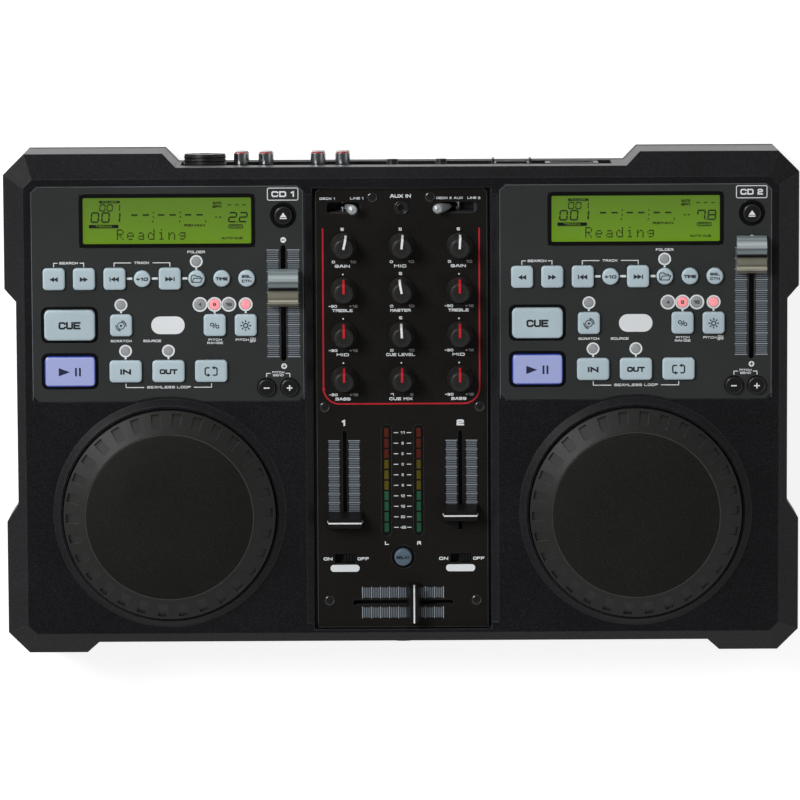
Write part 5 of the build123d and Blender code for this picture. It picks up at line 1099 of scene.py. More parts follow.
def mark_small_keys(transport, function, loops, deck_u):
    """Icons and words of the keys in groups."""
    for u, heading, bar in ARROWS:
        double_arrow(transport, deck_u + u, KEY_ROW, heading, bar, KEY_TOP)
    write(transport, "+10", deck_u - 14.1, KEY_ROW, 6.6, 1.9, KEY_TOP, 0.3)
    folder(function, deck_u + 16.2, KEY_ROW, KEY_TOP)
    write(function, "TIME", deck_u + 30.2, KEY_ROW, 6.8, 1.8, KEY_TOP, 0.3)
    write(function, "SGL", deck_u + 44.1, KEY_ROW + 1.3, 5.4, 1.6, KEY_TOP)
    write(function, "CTN", deck_u + 44.1, KEY_ROW - 1.3, 5.4, 1.6, KEY_TOP)
    scratch_disc(function, deck_u - 26.1, 43.7, KEY_TOP)
    percent(function, deck_u + 26.1, 43.6, KEY_TOP)
    small_sun(function, deck_u + 43.4, 43.5, KEY_TOP)
    write(loops, "IN", deck_u - 23.8, LOOP_V, 6.0, 3.0, KEY_TOP, 0.33)
    write(loops, "OUT", deck_u + 0.1, LOOP_V, 9.9, 2.9, KEY_TOP, 0.3)
    loop_arrows(loops, deck_u + 23.9, LOOP_V, KEY_TOP)


def mark_single_keys(bends, cue, play, eject, deck_u):
    """A minus and a plus for the bend keys, and the marks of cue, play and eject."""
    for u in BENDS_U:
        stroke(bends, [(deck_u + u - 1.6, BEND_V), (deck_u + u + 1.6, BEND_V)], 0.7, KEY_TOP, INK)
    plus_u = deck_u + BENDS_U[1]
    stroke(bends, [(plus_u, BEND_V - 1.6), (plus_u, BEND_V + 1.6)], 0.7, KEY_TOP, OVERLAP)
    write(cue, "CUE", deck_u + LARGE_U, CUE_V, 12.3, 4.2, KEY_TOP, 0.25)
    triangle(play, deck_u - 58.0, PLAY_V, 6.2, 4.7, KEY_TOP)
    for u in (-51.5, -49.3):
        stroke(play, [(deck_u + u, 15.2), (deck_u + u, 20.0)], 1.05, KEY_TOP, INK)
    u, v = EJECT_AT
    triangle(eject, deck_u + u, v + 0.5, 2.6, 3.8, KEY_TOP, 90)
    bar_v = v - 1.5
    stroke(eject, [(deck_u + u - 1.9, bar_v), (deck_u + u + 1.9, bar_v)], 0.6, KEY_TOP, INK)


print(len(ARROWS), "double arrows on a deck")

# %% Icons of both decks and of the relay button
for number, deck_u in DECKS:
    transport, function, loops, bends, cue, play, eject = (bmesh.new() for _ in range(7))
    mark_small_keys(transport, function, loops, deck_u)
    mark_single_keys(bends, cue, play, eject, deck_u)
    for name, sheet, material, owner, slot in (
        ("transport_icons", transport, dark_ink, "transport_keys", "key"),
        ("function_icons", function, dark_ink, "function_keys", "key"),
        ("loop_icons", loops, black_ink, "loop_keys", "key"),
        ("bend_icons", bends, white_ink, "loop_keys", "key"),
        ("cue_icon", cue, black_ink, "cue_key", "key"),
        ("play_icon", play, navy_ink, "play_key", "play_key"),
        ("eject_icon", eject, white_ink, "eject_key", "key"),
    ):
        piece(f"{name}_{number}", sheet, material, f"{owner}_{number}")
relay_word = bmesh.new()
write(relay_word, "RELAY", *RELAY_AT, 7.6, 1.6, MIXER_TOP + KEY_RISE)
piece("relay_icon", relay_word, black_ink, "relay_button")
print("icons placed")

# %% [markdown]
# The large keys and the round ones sit in sunk beds. A black ring lies on the floor of each
# bed, so the pale cap stands out, and a thin lip marks where the round beds meet the plate. Its
# bright edges come partly from its shape and partly from a highlight painted in its edge colour.

# %% Beds of the keys
LIP = 0.1
LARGE_BED_CORNER = 2.0  # the other beds are round like their keys


def bed_ring(bm, kind, u, v, margin, top):
    """A flat black ring on the floor of a key's bed."""
    width, depth, corner = KEY_KINDS[kind]
    corner = LARGE_BED_CORNER if kind == "large" else corner
    middle = pad(u, v, width + margin + 0.2, depth + margin + 0.2, corner + margin / 2, 8)
    stroke(bm, middle, margin - 0.3, top - 0.5, 0.08, True)


lips = bmesh.new()
for number, deck_u in DECKS:
    eject_u, eject_v = deck_u + EJECT_AT[0], EJECT_AT[1]
    beds = bmesh.new()
    for v in (CUE_V, PLAY_V):
        bed_ring(beds, "large", deck_u + LARGE_U, v, 1.8, DECK_TOP)
    bed_ring(beds, "eject", eject_u, eject_v, 2.2, DECK_TOP)
    piece(f"key_beds_{number}", beds, bed_black, "console")
    stroke(lips, arc(eject_u, eject_v, 7.45, steps=48), 0.22, DECK_TOP, LIP, True)
mixer_bed = bmesh.new()
bed_ring(mixer_bed, "relay", *RELAY_AT, 1.6, MIXER_TOP)
piece("relay_bed", mixer_bed, bed_black, "console")
stroke(lips, arc(*RELAY_AT, 6.65, steps=48), 0.22, MIXER_TOP, LIP, True)
piece("bed_lips", lips, black_oxide, "console")
print("key beds lined")

# %% [markdown]
# ## Lamps and meters
# A lamp is the domed end of a light guide. Two of them are lit in each deck, the middle one
# of the three pitch ranges and the one over the pitch key. The ranges carry numbers. The
# meters are dark bars with ten cells, red, yellow and green.

# %% Lamps
LENS_PROFILE = ((1.0, -2.0), (1.0, 0.0), (0.92, 0.45), (0.7, 0.78), (0.35, 0.96), (0.08, 1.0))
LENS_RISE = 0.3  # the profile gives shares of the radius and, above the plate, of this rise
LIT_LAMPS = (3, 5)
RANGE_NUMBERS = ((2, "4"), (3, "8"), (4, "16"))


def dome(bm, u, v, radius):
    """A shallow domed lens."""
    rings = []
    for share, lift in LENS_PROFILE:
        height = DECK_TOP + (lift * LENS_RISE if lift > 0 else lift)
        rings.append([(x, y, height) for x, y in arc(u, v, radius * share, steps=28)])
    loft(bm, rings)


for number, deck_u in DECKS:
    grey, lit, marks = bmesh.new(), bmesh.new(), bmesh.new()
    for i, (u, v, radius) in enumerate(LAMPS):
        dome(lit if i in LIT_LAMPS else grey, deck_u + u, v, radius)
    for i, words in RANGE_NUMBERS:
        u, v, _ = LAMPS[i]
        length = 1.5 * len(words) + 0.3
        write(marks, words, deck_u + u, v, length, 2.0, DECK_TOP + 0.26, 0.22, 0.06)
    for shade, sheet, material in (("grey", grey, lamp_grey), ("lit", lit, lamp_pink)):
        piece(f"lamps_{shade}_{number}", sheet, material, "console",
              stands_for=("indicator_lenses",))
    piece(f"lamp_marks_{number}", marks, dark_ink, "console")
print("lamps placed")

# %% Meters
METER_V = -45.85
METER_LENGTH = 63.3
METER_WIDTH = 5.3
CELL_WIDTH = 2.3
CELL_LENGTH = 5.0
CELL_COLOURS = (
    ("red", plain(84, 28, 12), 3), ("yellow", plain(82, 72, 12), 3),
    ("green", plain(32, 82, 54), 4),
)
meter_black = coated(
    "meter_black", plain(16, 16, 16), plain(24, 24, 24), gloss=0.16, spread=0.05, depth=0.002,
    wear_and_highlight=0.0,
)
bars, meter_lips = bmesh.new(), bmesh.new()
for u in (-METER_U, METER_U):
    outline = pad(u, METER_V, METER_WIDTH, METER_LENGTH, METER_WIDTH / 2 - 0.02, 10)
    tablet(bars, outline, MIXER_TOP - 3.0, 2.7)
    # A thin lip round each bar: its bright edges are partly a painted highlight in its edge colour.
    lip_line = pad(u, METER_V, METER_WIDTH + 0.5, METER_LENGTH + 0.5, METER_WIDTH / 2 + 0.2, 10)
    stroke(meter_lips, lip_line, 0.22, MIXER_TOP, LIP, True)
piece("meter_bars", bars, meter_black, "console", stands_for=("indicator_lenses",))
piece("meter_lips", meter_lips, black_oxide, "console")
first = 0
for shade, colour, count in CELL_COLOURS:
    cells_mesh = bmesh.new()
    for u in (-METER_U, METER_U):
        for v in METER_ROWS[first:first + count]:
            tablet(cells_mesh, pad(u, v, CELL_WIDTH, CELL_LENGTH, 0.15, 2), MIXER_TOP - 0.3, INK)
    first += count
    cell_ink = ink(f"meter_{shade}", colour, cover=0.2, gloss=0.25, glow=0.05)
    piece(f"meter_cells_{shade}", cells_mesh, cell_ink, "console")
print("meters placed")

# %% [markdown]
# ## Displays
# The display is a green backlit glass in a black frame. Its dark characters float a little
# in front of the light, and each one has a soft painted shadow below itself: a darker copy set
# a little down and to the right. The numbers are made of seven bars, the status line of small
# square dots.

# %% Seven-bar numbers and dotted letters
BARS = {"0": "abcdef", "1": "bc", "2": "abged", "7": "abcf", "8": "abcdefg"}
BAR_PLACES = {
    "a": (0.5, 1.0, 0), "b": (1.0, 0.75, 1), "c": (1.0, 0.25, 1), "d": (0.5, 0.0, 0),
    "e": (0.0, 0.25, 1), "f": (0.0, 0.75, 1), "g": (0.5, 0.5, 0),
}  # across and up in shares of a figure, and 1 if the bar is upright
DOTS = {
    "R": "11110 10001 10001 11110 10100 10010 10001",
    "e": "00000 00000 01110 10001 11111 10000 01110",
    "a": "00000 00000 01110 00001 01111 10001 01111",
    "d": "00001 00001 01101 10011 10001 10001 01111",
    "i": "00100 00000 01100 00100 00100 00100 01110",
    "n": "00000 00000 10110 11001 10001 10001 10001",
    "g": "00000 00000 01111 10001 01111 00001 01110",
}
SLANT = 0.08


def bar_number(bm, text, left, bottom, width, height, pitch, level, weight):
    """Seven-bar figures, slightly slanted."""
    for index, character in enumerate(text):
        for name in BARS[character]:
            x, y, upright = BAR_PLACES[name]
            middle_u = left + index * pitch + x * width + y * height * SLANT
            middle = Vector((middle_u, bottom + y * height))
            half = (height / 4 if upright else width / 2) - 0.55 * weight
            along = Vector((SLANT, 1.0)) * half if upright else Vector((half, 0.0))
            tip = along.normalized() * weight * 0.5
            side = (Vector((weight / 2, 0.0)) if upright else Vector((0.0, weight / 2)))
            outline = [middle - along - tip, middle - along + side, middle + along + side,
                       middle + along + tip, middle + along - side, middle - along - side]
            tablet(bm, [tuple(point) for point in outline], level, INK)


def dot_text(bm, text, left, bottom, dot, pitch, level):
    """A line of five by seven dot letters."""
    for index, character in enumerate(text):
        for row, dots in enumerate(DOTS[character].split()):
            for column, lit in enumerate(dots):
                if lit == "1":
                    u = left + index * pitch + column * dot
                    v = bottom + (6 - row) * dot * 1.12
                    tablet(bm, pad(u, v, dot * 0.86, dot * 0.96, 0.04, 1), level, INK)


print(len(DOTS), "dotted letters")

# %% Display glass and its inks
GLASS_TOP = -1.9
display_green, green_tree, green_shader = new_material(
    "display_green", Roughness=0.35, Emission_Strength=1.0, Base_Color=plain(30, 40, 20),
)
green_place = place(green_tree, "TexCoord").outputs
across = place(green_tree, "SeparateXYZ", Vector=green_place["Generated"])
sheen = remap(green_tree, across.outputs[1], 0.0, 1.0, 0.0, 1.0)
mottle = place(
    green_tree, "TexNoise", Vector=green_place["Object"], Scale=45.0, Detail=3.0
).outputs[0]
green_blend = maths(green_tree, "MULTIPLY_ADD", mottle, 0.3, sheen)
green_ramp = place(green_tree, "ValToRGB", Fac=green_blend)
green_ramp.color_ramp.elements[0].color = plain(99, 138, 18)
green_ramp.color_ramp.elements[1].color = plain(86, 118, 30)
green_tree.links.new(green_ramp.outputs[0], green_shader.inputs["Emission Color"])
lcd_navy = ink("lcd_navy", plain(4, 6, 22), gloss=0.4)
lcd_olive = ink("lcd_olive", plain(14, 18, 6), gloss=0.4)
lcd_shadow = ink("lcd_shadow", plain(20, 30, 8))
shadow_shader = lcd_shadow.node_tree.nodes["Principled BSDF"].inputs
shadow_shader["Emission Color"].default_value = plain(88, 122, 26)
shadow_shader["Emission Strength"].default_value = 0.75
frame_black = coated(
    "display_frame_black", plain(9, 8, 8), plain(26, 26, 26), gloss=0.3, depth=0.004, wear_and_highlight=0.0,
    Specular_IOR_Level=0.3,
)
print("display's glass and inks ready")

# %% Characters of a display
STATUS_BAR = (-31.9, 113.0, 11.5, 1.35)
TRACK_BAR = (-35.3, 99.2, 16.4, 1.9)
PITCH_BOX = (38.2, 98.95)
DISPLAY_WORDS = (
    ("REMAIN", 15.3, 99.6, 11.5, 1.35), ("AUTO", 27.9, 112.1, 4.9, 1.5),
    ("BPM", 27.9, 110.1, 4.9, 1.5), ("AUTO CUE", 36.2, 92.3, 11.8, 1.25),
    ("PITCH", *PITCH_BOX, 5.6, 1.0),
)
BAR_WORDS = (("FOLDER", -31.9, 113.0, 8.0, 0.85), ("TRACK", -35.3, 99.2, 9.2, 1.15))


def display_numbers(bm, deck_u, level, shift_u=0.0, shift_v=0.0):
    """The large characters of one display: figures, dashes and bars."""
    base_u = deck_u + shift_u

    def number(text, left, v, width, height, pitch, weight):
        bar_number(bm, text, base_u + left, v + shift_v, width, height, pitch, level, weight)

    def dash(left, right, v, width):
        ends = [(base_u + left, v + shift_v), (base_u + right, v + shift_v)]
        stroke(bm, ends, width, level, INK)

    def block(u, v, width, height, corner, steps):
        tablet(bm, pad(base_u + u, v + shift_v, width, height, corner, steps), level, INK)

    number("001", -37.4, 108.0, 2.8, 3.45, 4.05, 0.55)
    number("001", -42.3, 101.7, 3.9, 5.2, 5.93, 0.75)
    for left in (-19.9, -13.5, -5.0, 1.4, 10.0, 16.4):
        dash(left, left + 3.5, 105.6, 0.75)
    for u in (-7.54, 7.41):
        for v in (104.4, 107.0):
            block(u, v, 0.65, 0.75, 0.1, 1)
    for u in (-7.9, 7.0, 21.5):
        comma = [(base_u + u - 0.2, 101.5 + shift_v), (base_u + u + 0.2, 102.4 + shift_v)]
        stroke(bm, comma, 0.5, level, INK)
    for left in (33.65, 37.8, 41.95):
        dash(left, left + 2.2, 111.1, 0.4)
    for left in (26.75, 29.0):
        dash(left, left + 1.15, 104.25, 0.55)
    number("22" if deck_u < 0 else "78", 34.3, 101.6, 4.0, 5.1, 5.93, 0.7)
    block(39.3, 101.5, 0.6, 0.6, 0.1, 1)
    for bar in (STATUS_BAR, TRACK_BAR):
        block(*bar, 0.3, 2)
    u, v = PITCH_BOX
    stroke(bm, pad(base_u + u, v + shift_v, 7.7, 1.75, 0.5, 3), 0.4, level, INK, True)


def display_words(bm, deck_u, level):
    """The words of one display: the status line in dots and small captions."""
    dot_text(bm, "Reading", deck_u - 27.7, 91.9, 0.78, 5.75, level)
    for words, u, v, length, height in DISPLAY_WORDS:
        write(bm, words, deck_u + u, v, length, height, level)


print(len(DISPLAY_WORDS) + len(BAR_WORDS), "words on a display")

# %% Light both displays
CHARACTERS_LEVEL = GLASS_TOP + 0.06
LABEL_LEVEL = GLASS_TOP + 0.11
for number, deck_u in DECKS:
    light, surround = bmesh.new(), bmesh.new()
    shadow, dark, words_sheet, label = (bmesh.new() for _ in range(4))
    tablet(light, pad(deck_u - 0.2, 102.85, 95.0, 27.4, 1.0), GLASS_TOP - 0.3, 0.3)
    stroke(surround, pad(deck_u, 102.55, 95.9, 28.2, 2.0), 2.3, DECK_TOP - 0.38, 0.46, True)
    # A darker copy of the numbers, shifted down and right, is their painted shadow.
    display_numbers(shadow, deck_u, GLASS_TOP, 0.25, -0.4)
    display_numbers(dark, deck_u, CHARACTERS_LEVEL)
    display_words(words_sheet, deck_u, CHARACTERS_LEVEL)
    for words, u, v, length, height in BAR_WORDS:
        write(label, words, deck_u + u, v, length, height, LABEL_LEVEL, 0.2, 0.02)
    for name, sheet, material in (
        ("light", light, display_green), ("surround", surround, frame_black),
        ("shadow", shadow, lcd_shadow), ("numbers", dark, lcd_navy),
        ("words", words_sheet, lcd_olive), ("label", label, display_green),
    ):
        piece(f"display_{name}_{number}", sheet, material, "console")
print("displays lit")

# %% [markdown]
# ## Knobs
# A knob is a turned cone with a fluted side. A loft through rings whose radius rises and
# falls along the way round makes the flutes in the mesh itself. The pointer is an inlaid line
# from the middle of the top, over the edge and down the side. Each knob is built at the
# angle at which it stands and takes the place of its CAD part.

# %% Knobs and their pointers
KNOBS = {
    "gain_knob_1": (-1, 0, 12.0), "treble_knob_1": (-1, 1, 0.0), "mid_knob_1": (-1, 2, 0.0),
    "bass_knob_1": (-1, 3, 0.0), "mic_knob": (0, 0, 5.0), "master_knob": (0, 1, -10.0),
    "cue_level_knob": (0, 2, -3.0), "cue_mix_knob": (0, 3, 0.0), "gain_knob_2": (1, 0, 3.0),
    "treble_knob_2": (1, 1, 0.0), "mid_knob_2": (1, 2, 0.0), "bass_knob_2": (1, 3, 0.0),
}
WHITE_POINTERS = ("gain_knob_1", "gain_knob_2", "mic_knob", "master_knob", "cue_level_knob")
KNOB_FOOT = MIXER_TOP + 0.5
KNOB_PROFILE = (
    (7.05, 0.0, 0.0), (7.35, 0.25, 0.0), (7.35, 1.1, 0.0), (7.1, 1.4, 0.0), (6.95, 1.7, 0.16),
    (6.1, 6.0, 0.16), (5.6, 10.6, 0.14), (5.42, 11.2, 0.05), (5.1, 11.75, 0.0), (4.6, 12.0, 0.0),
    (3.9, 11.95, 0.0), (0.4, 11.9, 0.0),
)
FLUTES = 18
AROUND = 108


def knob_body(bm, u, v, angle):
    """A fluted cone about u and v."""
    rings = []
    for radius, height, flute in KNOB_PROFILE:
        ring = []
        for turn in turns(AROUND):
            wave = radius - flute * (0.5 + 0.5 * math.cos(FLUTES * turn)) ** 2
            heading = turn + math.radians(90 - angle)
            x, y = u + wave * math.cos(heading), v + wave * math.sin(heading)
            ring.append((x, y, KNOB_FOOT + height))
        rings.append(ring)
    loft(bm, rings)


print(len(KNOB_PROFILE), "rings in a knob")

# %% Pointers, and painted highlights on the knobs
POINTER_HALF = 0.62
POINTER_PATH = (
    (0.0, 12.12), (4.6, 12.16), (5.15, 11.95), (5.5, 11.3), (5.72, 10.6), (6.2, 6.0), (6.62, 3.4),
)  # reach from the knob's middle, and height over its foot


def knob_pointer(bm, u, v, angle):
    """A strip over the top of a knob and down its side."""
    turn = math.radians(90 - angle)
    middle = Vector((u, v))
    along = Vector((math.cos(turn), math.sin(turn)))
    side = Vector((-along.y, along.x)) * POINTER_HALF
    rows = []
    for reach, height in POINTER_PATH:
        top = middle + along * reach
        low = middle + along * max(reach - 0.5, -0.1)
        lift = KNOB_FOOT + height
        rows.append([
            (*(top + side), lift), (*(top - side), lift),
            (*(low - side), lift - 0.35), (*(low + side), lift - 0.35),
        ])
    loft(bm, rows)


def knob_highlight_rings(bm, u, v, angle):
    """Painted highlights: thin light rings on the top and skirt of a knob, and marks along the
    top's edge.
    """
    stroke(bm, arc(u, v, 4.35, steps=40), 0.14, KNOB_FOOT + 11.93, 0.05, True)
    stroke(bm, arc(u, v, 7.2, steps=48), 0.12, KNOB_FOOT + 1.12, 0.06, True)
    middle = Vector((u, v))
    for flute_turn in turns(FLUTES)[3:FLUTES - 2]:
        turn = flute_turn + math.radians(90 - angle)
        out = Vector((math.cos(turn), math.sin(turn)))
        stroke(bm, [middle + out * 3.3, middle + out * 3.9], 0.16, KNOB_FOOT + 11.9, 0.08)


print(len(POINTER_PATH), "steps in a pointer")

# %% Place the knobs
red_pointer = ink("pointer_red", plain(206, 26, 38), gloss=0.4)
white_pointer = ink("pointer_white", plain(236, 238, 238), gloss=0.4)
for name, (column, row, angle) in KNOBS.items():
    u, v = column * KNOB_COLUMN, KNOB_ROWS[row]
    cone, line, rings = bmesh.new(), bmesh.new(), bmesh.new()
    knob_body(cone, u, v, angle)
    knob_pointer(line, u, v, angle)
    knob_highlight_rings(rings, u, v, angle)
    pointer_ink = white_pointer if name in WHITE_POINTERS else red_pointer
    # The rings and marks are painted highlights on the knob's edges and flutes.
    piece(f"{name}_rings", rings, knob_line_grey, name)
    piece(f"{name}_cone", cone, knob_rubber, name, stands_for=(name,), smooth=40.0)
    piece(f"{name}_pointer", line, pointer_ink, name)
print(len(KNOBS), "knobs turned")

# %% [markdown]
# ## Levers, nut and screws of the mixer plate
# Each input selector has a bat handle, thin at its pivot and thick at its tip, with a satin
# finish. The jack nut is two glossy black rings with a groove between them. The screws have
# domed heads. Their cross recess is a black cross of painted shade, and a black ring of painted
# shade lies round each head. The heads, handles and nut are turned shapes, lofted through rings.

# %% Turn a form on the lathe
ROUND_STEPS = 48


def turned(bm, base, axis, side, profile, open_end=False):
    """A turned form: rings of given reach along the axis and radius, about a base point."""
    across = axis.cross(side)
    rings = []
    for reach, radius in profile:
        rings.append([
            tuple(base + axis * reach + (side * math.cos(t) + across * math.sin(t)) * radius)
            for t in turns(ROUND_STEPS)
        ])
    loft(bm, rings, closed_end=not open_end)


UP, RIGHT, UPHILL = Vector((0.0, 0.0, 1.0)), Vector((1.0, 0.0, 0.0)), Vector((0.0, 1.0, 0.0))
print("lathe ready,", ROUND_STEPS, "steps round")

# %% Bat handles and jack nut
SELECTOR_V = 108.8
PIVOT_LEVEL = MIXER_TOP - 12.0
SELECTOR_LEANS = {1: (-32.3, 15.0), 2: (31.2, -33.0)}
BAT_PROFILE = (
    (9.0, 1.75), (11.0, 1.95), (13.0, 2.2), (15.0, 2.45), (17.0, 2.68), (18.5, 2.8), (20.0, 2.82),
    (21.0, 2.62), (21.9, 2.1), (22.5, 1.4), (22.8, 0.6),
)  # reach from the pivot, and radius
NUT_PROFILE = (
    (-0.3, 4.16), (0.62, 4.16), (0.84, 4.0), (0.95, 3.6), (0.84, 3.2), (0.5, 3.05), (0.5, 2.9),
    (0.9, 2.75), (1.05, 2.45), (0.9, 2.1), (0.4, 2.0),
)  # height over the plate, and radius
for number, (u, lean) in SELECTOR_LEANS.items():
    turn = math.radians(lean)
    axis = Vector((math.sin(turn), 0.0, math.cos(turn)))
    bat = bmesh.new()
    turned(bat, Vector((u, SELECTOR_V, PIVOT_LEVEL)), axis, UPHILL, BAT_PROFILE)
    piece(f"selector_bat_{number}", bat, lever_satin, f"input_selector_{number}",
          smooth=60.0)
nut = bmesh.new()
turned(nut, Vector((0.0, SELECTOR_V, MIXER_TOP)), UP, RIGHT, NUT_PROFILE, True)
piece("aux_nut", nut, bezel_gloss, "console", smooth=60.0)
print("levers and nut placed")

# %% Screw heads
HEAD_PROFILE = (
    (-0.1, 3.0), (0.3, 3.0), (0.68, 2.85), (0.88, 2.6), (1.06, 2.0), (1.16, 1.0), (1.18, 0.1),
)  # height over the plate, and radius
SCREWS = ((16.1, 114.8), (43.3, -3.9), (41.2, -114.4))
CROSS_ARM = 1.45
heads, cross_shade, recess_shade = bmesh.new(), bmesh.new(), bmesh.new()
for i, (u, v) in enumerate([(side * u, v) for u, v in SCREWS for side in (-1, 1)]):
    turned(heads, Vector((u, v, MIXER_TOP)), UP, RIGHT, HEAD_PROFILE)
    # A black ring round the head: painted shade.
    stroke(recess_shade, arc(u, v, 3.2, steps=32), 0.4, MIXER_TOP - 0.02, 0.05, True)
    # A black cross on the head: painted shade for its cross recess.
    for quarter in (0, 90):
        turn = math.radians(quarter + 35 + 23 * i)
        arm = Vector((math.cos(turn), math.sin(turn))) * CROSS_ARM
        cross = [Vector((u, v)) - arm, Vector((u, v)) + arm]
        stroke(cross_shade, cross, 0.62, MIXER_TOP + 1.02, 0.2)
piece("mixer_screw_heads", heads, screw_gloss, "console", smooth=50.0)
piece("mixer_screw_cross_shade", cross_shade, felt_black, "console")
piece("mixer_screw_recess_shade", recess_shade, felt_black, "console")
print(2 * len(SCREWS), "screws placed")

# %% [markdown]
# ## Rear jacks
# Each phono shell ends in a coloured insulator, red in the upper row and white in the lower
# one. The combination jack has glossy ribs round its barrel.

# %% Insulators and ribs
PHONO_PAIRS = (-82.5, -39.55)  # x of the middle of each block of four jacks
PHONO_GAP = 6.925  # from there to a jack
PHONO_ROWS = (("low", 44.0, insulator_white), ("high", 62.0, insulator_red))
PHONO_REACH = 9.3
COMBO_JACK = (110.0, 51.0)
for row, z, material in PHONO_ROWS:
    ends = bmesh.new()
    for x in [middle + side * PHONO_GAP for middle in PHONO_PAIRS for side in (-1, 1)]:
        stroke(ends, arc(-x, z, 2.75, steps=40), 1.5, PHONO_REACH - 0.7, 1.3, True)
    piece(f"phono_insulators_{row}", ends, material, "console", board=REAR)
ribs = bmesh.new()
for reach in (2.6, 4.6, 6.6):
    stroke(ribs, arc(*COMBO_JACK, 11.6, steps=72), 0.8, reach, 0.7, True)
piece("combo_ribs", ribs, bezel_gloss, "console", board=REAR)
print("rear jacks dressed")

# %% [markdown]
# ## Lines on the fader caps
# The mixer's fader caps carry a white line over their crest and down both ends, so that it
# can be read from either side. It follows the cap's own profile a few hundredths of a
# millimetre above it.

# %% Fader lines
CAP_FOOT = MIXER_TOP + 0.5
CAP_HEIGHT = 9.5
LINE_DROP = 6.5  # how far the line goes down the ends
LINE_WIDTH = 0.85
LINE_CORNERS = ((-1, 0.05, 1), (1, 0.05, 1), (1, -0.3, -4), (-1, -0.3, -4))
FADER_RESTS = ((1, -FADER_U, -22.6), (2, FADER_U, -18.6))  # number, u, v from the slot's middle
CROSSFADER_REST = 6.2


def cap_line(bm, u, v, half_foot, half_crest, along_v):
    """A line over the crest of a fader cap and down both of its ends."""
    run = half_crest + (half_foot - half_crest) * LINE_DROP / CAP_HEIGHT
    low = CAP_HEIGHT - LINE_DROP
    rows = []
    for reach, height in ((-run, low), (-half_crest, CAP_HEIGHT), (half_crest, CAP_HEIGHT),
                          (run, low)):
        out = 0.05 if reach > 0 else -0.05
        row = []
        for side, lift, push in LINE_CORNERS:
            end, across_line = reach + out * push, side * LINE_WIDTH / 2
            spot_u, spot_v = (across_line, end) if along_v else (end, across_line)
            row.append((u + spot_u, v + spot_v, CAP_FOOT + height + lift))
        rows.append(row)
    loft(bm, rows)


line_white = ink("fader_line_white", plain(236, 238, 238), gloss=0.4)
for number, u, rest in FADER_RESTS:
    mark = bmesh.new()
    cap_line(mark, u, FADER_V + rest, 10.2, 9.18, False)
    piece(f"channel_fader_line_{number}", mark, line_white, f"channel_fader_{number}")
mark = bmesh.new()
cap_line(mark, CROSSFADER_REST, CROSS_V, 11.0, 9.9, True)
piece("crossfader_line", mark, line_white, "crossfader")
print("fader lines placed")

# %% [markdown]
# The pitch caps are metal with two swelling halves, silver beyond the groove and champagne
# before it. A swell shows light and dark bands along its curve. Here the bands are painted
# reflections from a colour ramp along the slope, with painted shade in the groove, and the
# brushing group lays its lines across them.

# %% Painted reflections on the pitch caps
# The light and dark bands are painted reflections; the dark pair in the middle is painted shade in
# the groove.
CAP_BANDS = (
    (0.00, (92, 90, 80)), (0.05, (138, 134, 118)), (0.08, (84, 82, 72)),
    (0.13, (220, 216, 198)), (0.20, (202, 198, 178)), (0.25, (96, 94, 82)),
    (0.31, (132, 130, 114)), (0.44, (120, 118, 104)), (0.465, (24, 20, 17)),
    (0.515, (26, 24, 24)), (0.54, (122, 132, 134)), (0.63, (134, 146, 148)),
    (0.70, (96, 104, 108)), (0.76, (190, 200, 202)), (0.87, (164, 176, 178)),
    (0.92, (112, 122, 124)), (1.00, (156, 168, 170)),
)  # how far up the cap, and the colour there
PITCH_CAP_U = 64.5
PITCH_CAP_V = {1: 64.7, 2: 82.2}  # where the cap of each deck stands at rest
PITCH_CAP_HALF = 10.4


def pitch_cap_material(name, cap_u, cap_v):
    """Silver and champagne with painted bands of reflection across one pitch cap."""
    material, tree, shader = new_material(name, Metallic=0.35)
    middle = PANEL @ Vector((cap_u, cap_v, 0.0))
    uphill = PANEL.to_3x3() @ Vector((0.0, 1.0 / MM, 0.0))
    where = place(tree, "TexCoord").outputs["Object"]
    reach = place(tree, "VectorMath", {"operation": "SUBTRACT"}, in0=where, in1=middle).outputs[0]
    climb = place(
        tree, "VectorMath", {"operation": "DOT_PRODUCT"}, in0=reach, in1=uphill
    ).outputs["Value"]
    half = PITCH_CAP_HALF * MM
    ramp = place(tree, "ValToRGB", Fac=remap(tree, climb, -half, half, 0.0, 1.0))
    bands = ramp.color_ramp.elements
    bands[0].color, bands[1].color = plain(*CAP_BANDS[0][1]), plain(*CAP_BANDS[-1][1])
    for position, colour in CAP_BANDS[1:-1]:
        bands.new(position).color = plain(*colour)
    skin = use_group(
        tree, brushing, Colour=ramp.outputs[0], Stretch=ALONG_X, Contrast=0.35, Roughness=0.32,
        Roughness_Spread=0.2,
    )
    edges = use_group(tree, soft_edge, Radius=0.3, Colour=skin.outputs["Colour"], Wear=0.0)
    tree.links.new(edges.outputs["Colour"], shader.inputs["Base Color"])
    tree.links.new(edges.outputs["Normal"], shader.inputs["Normal"])
    tree.links.new(skin.outputs["Roughness"], shader.inputs["Roughness"])
    return material


pitch_reflection_materials = {}
for number, deck_u in DECKS:
    pitch_reflection_materials[f"pitch_fader_{number}"] = pitch_cap_material(
        f"pitch_cap_bands_{number}", deck_u + PITCH_CAP_U, PITCH_CAP_V[number]
    )
print(len(CAP_BANDS), "bands on each pitch cap")

# %% [markdown]
# ## Jog wheels
# The wheel's flat top carries a black disc of soft foil inside the grey rim, and a thin light
# line along the rim's inner edge is a painted highlight. Both turn with the wheel.

# %% Foil and painted edge highlight of the jog wheels
JOG_V = -63.5
JOG_TOP = 12.0
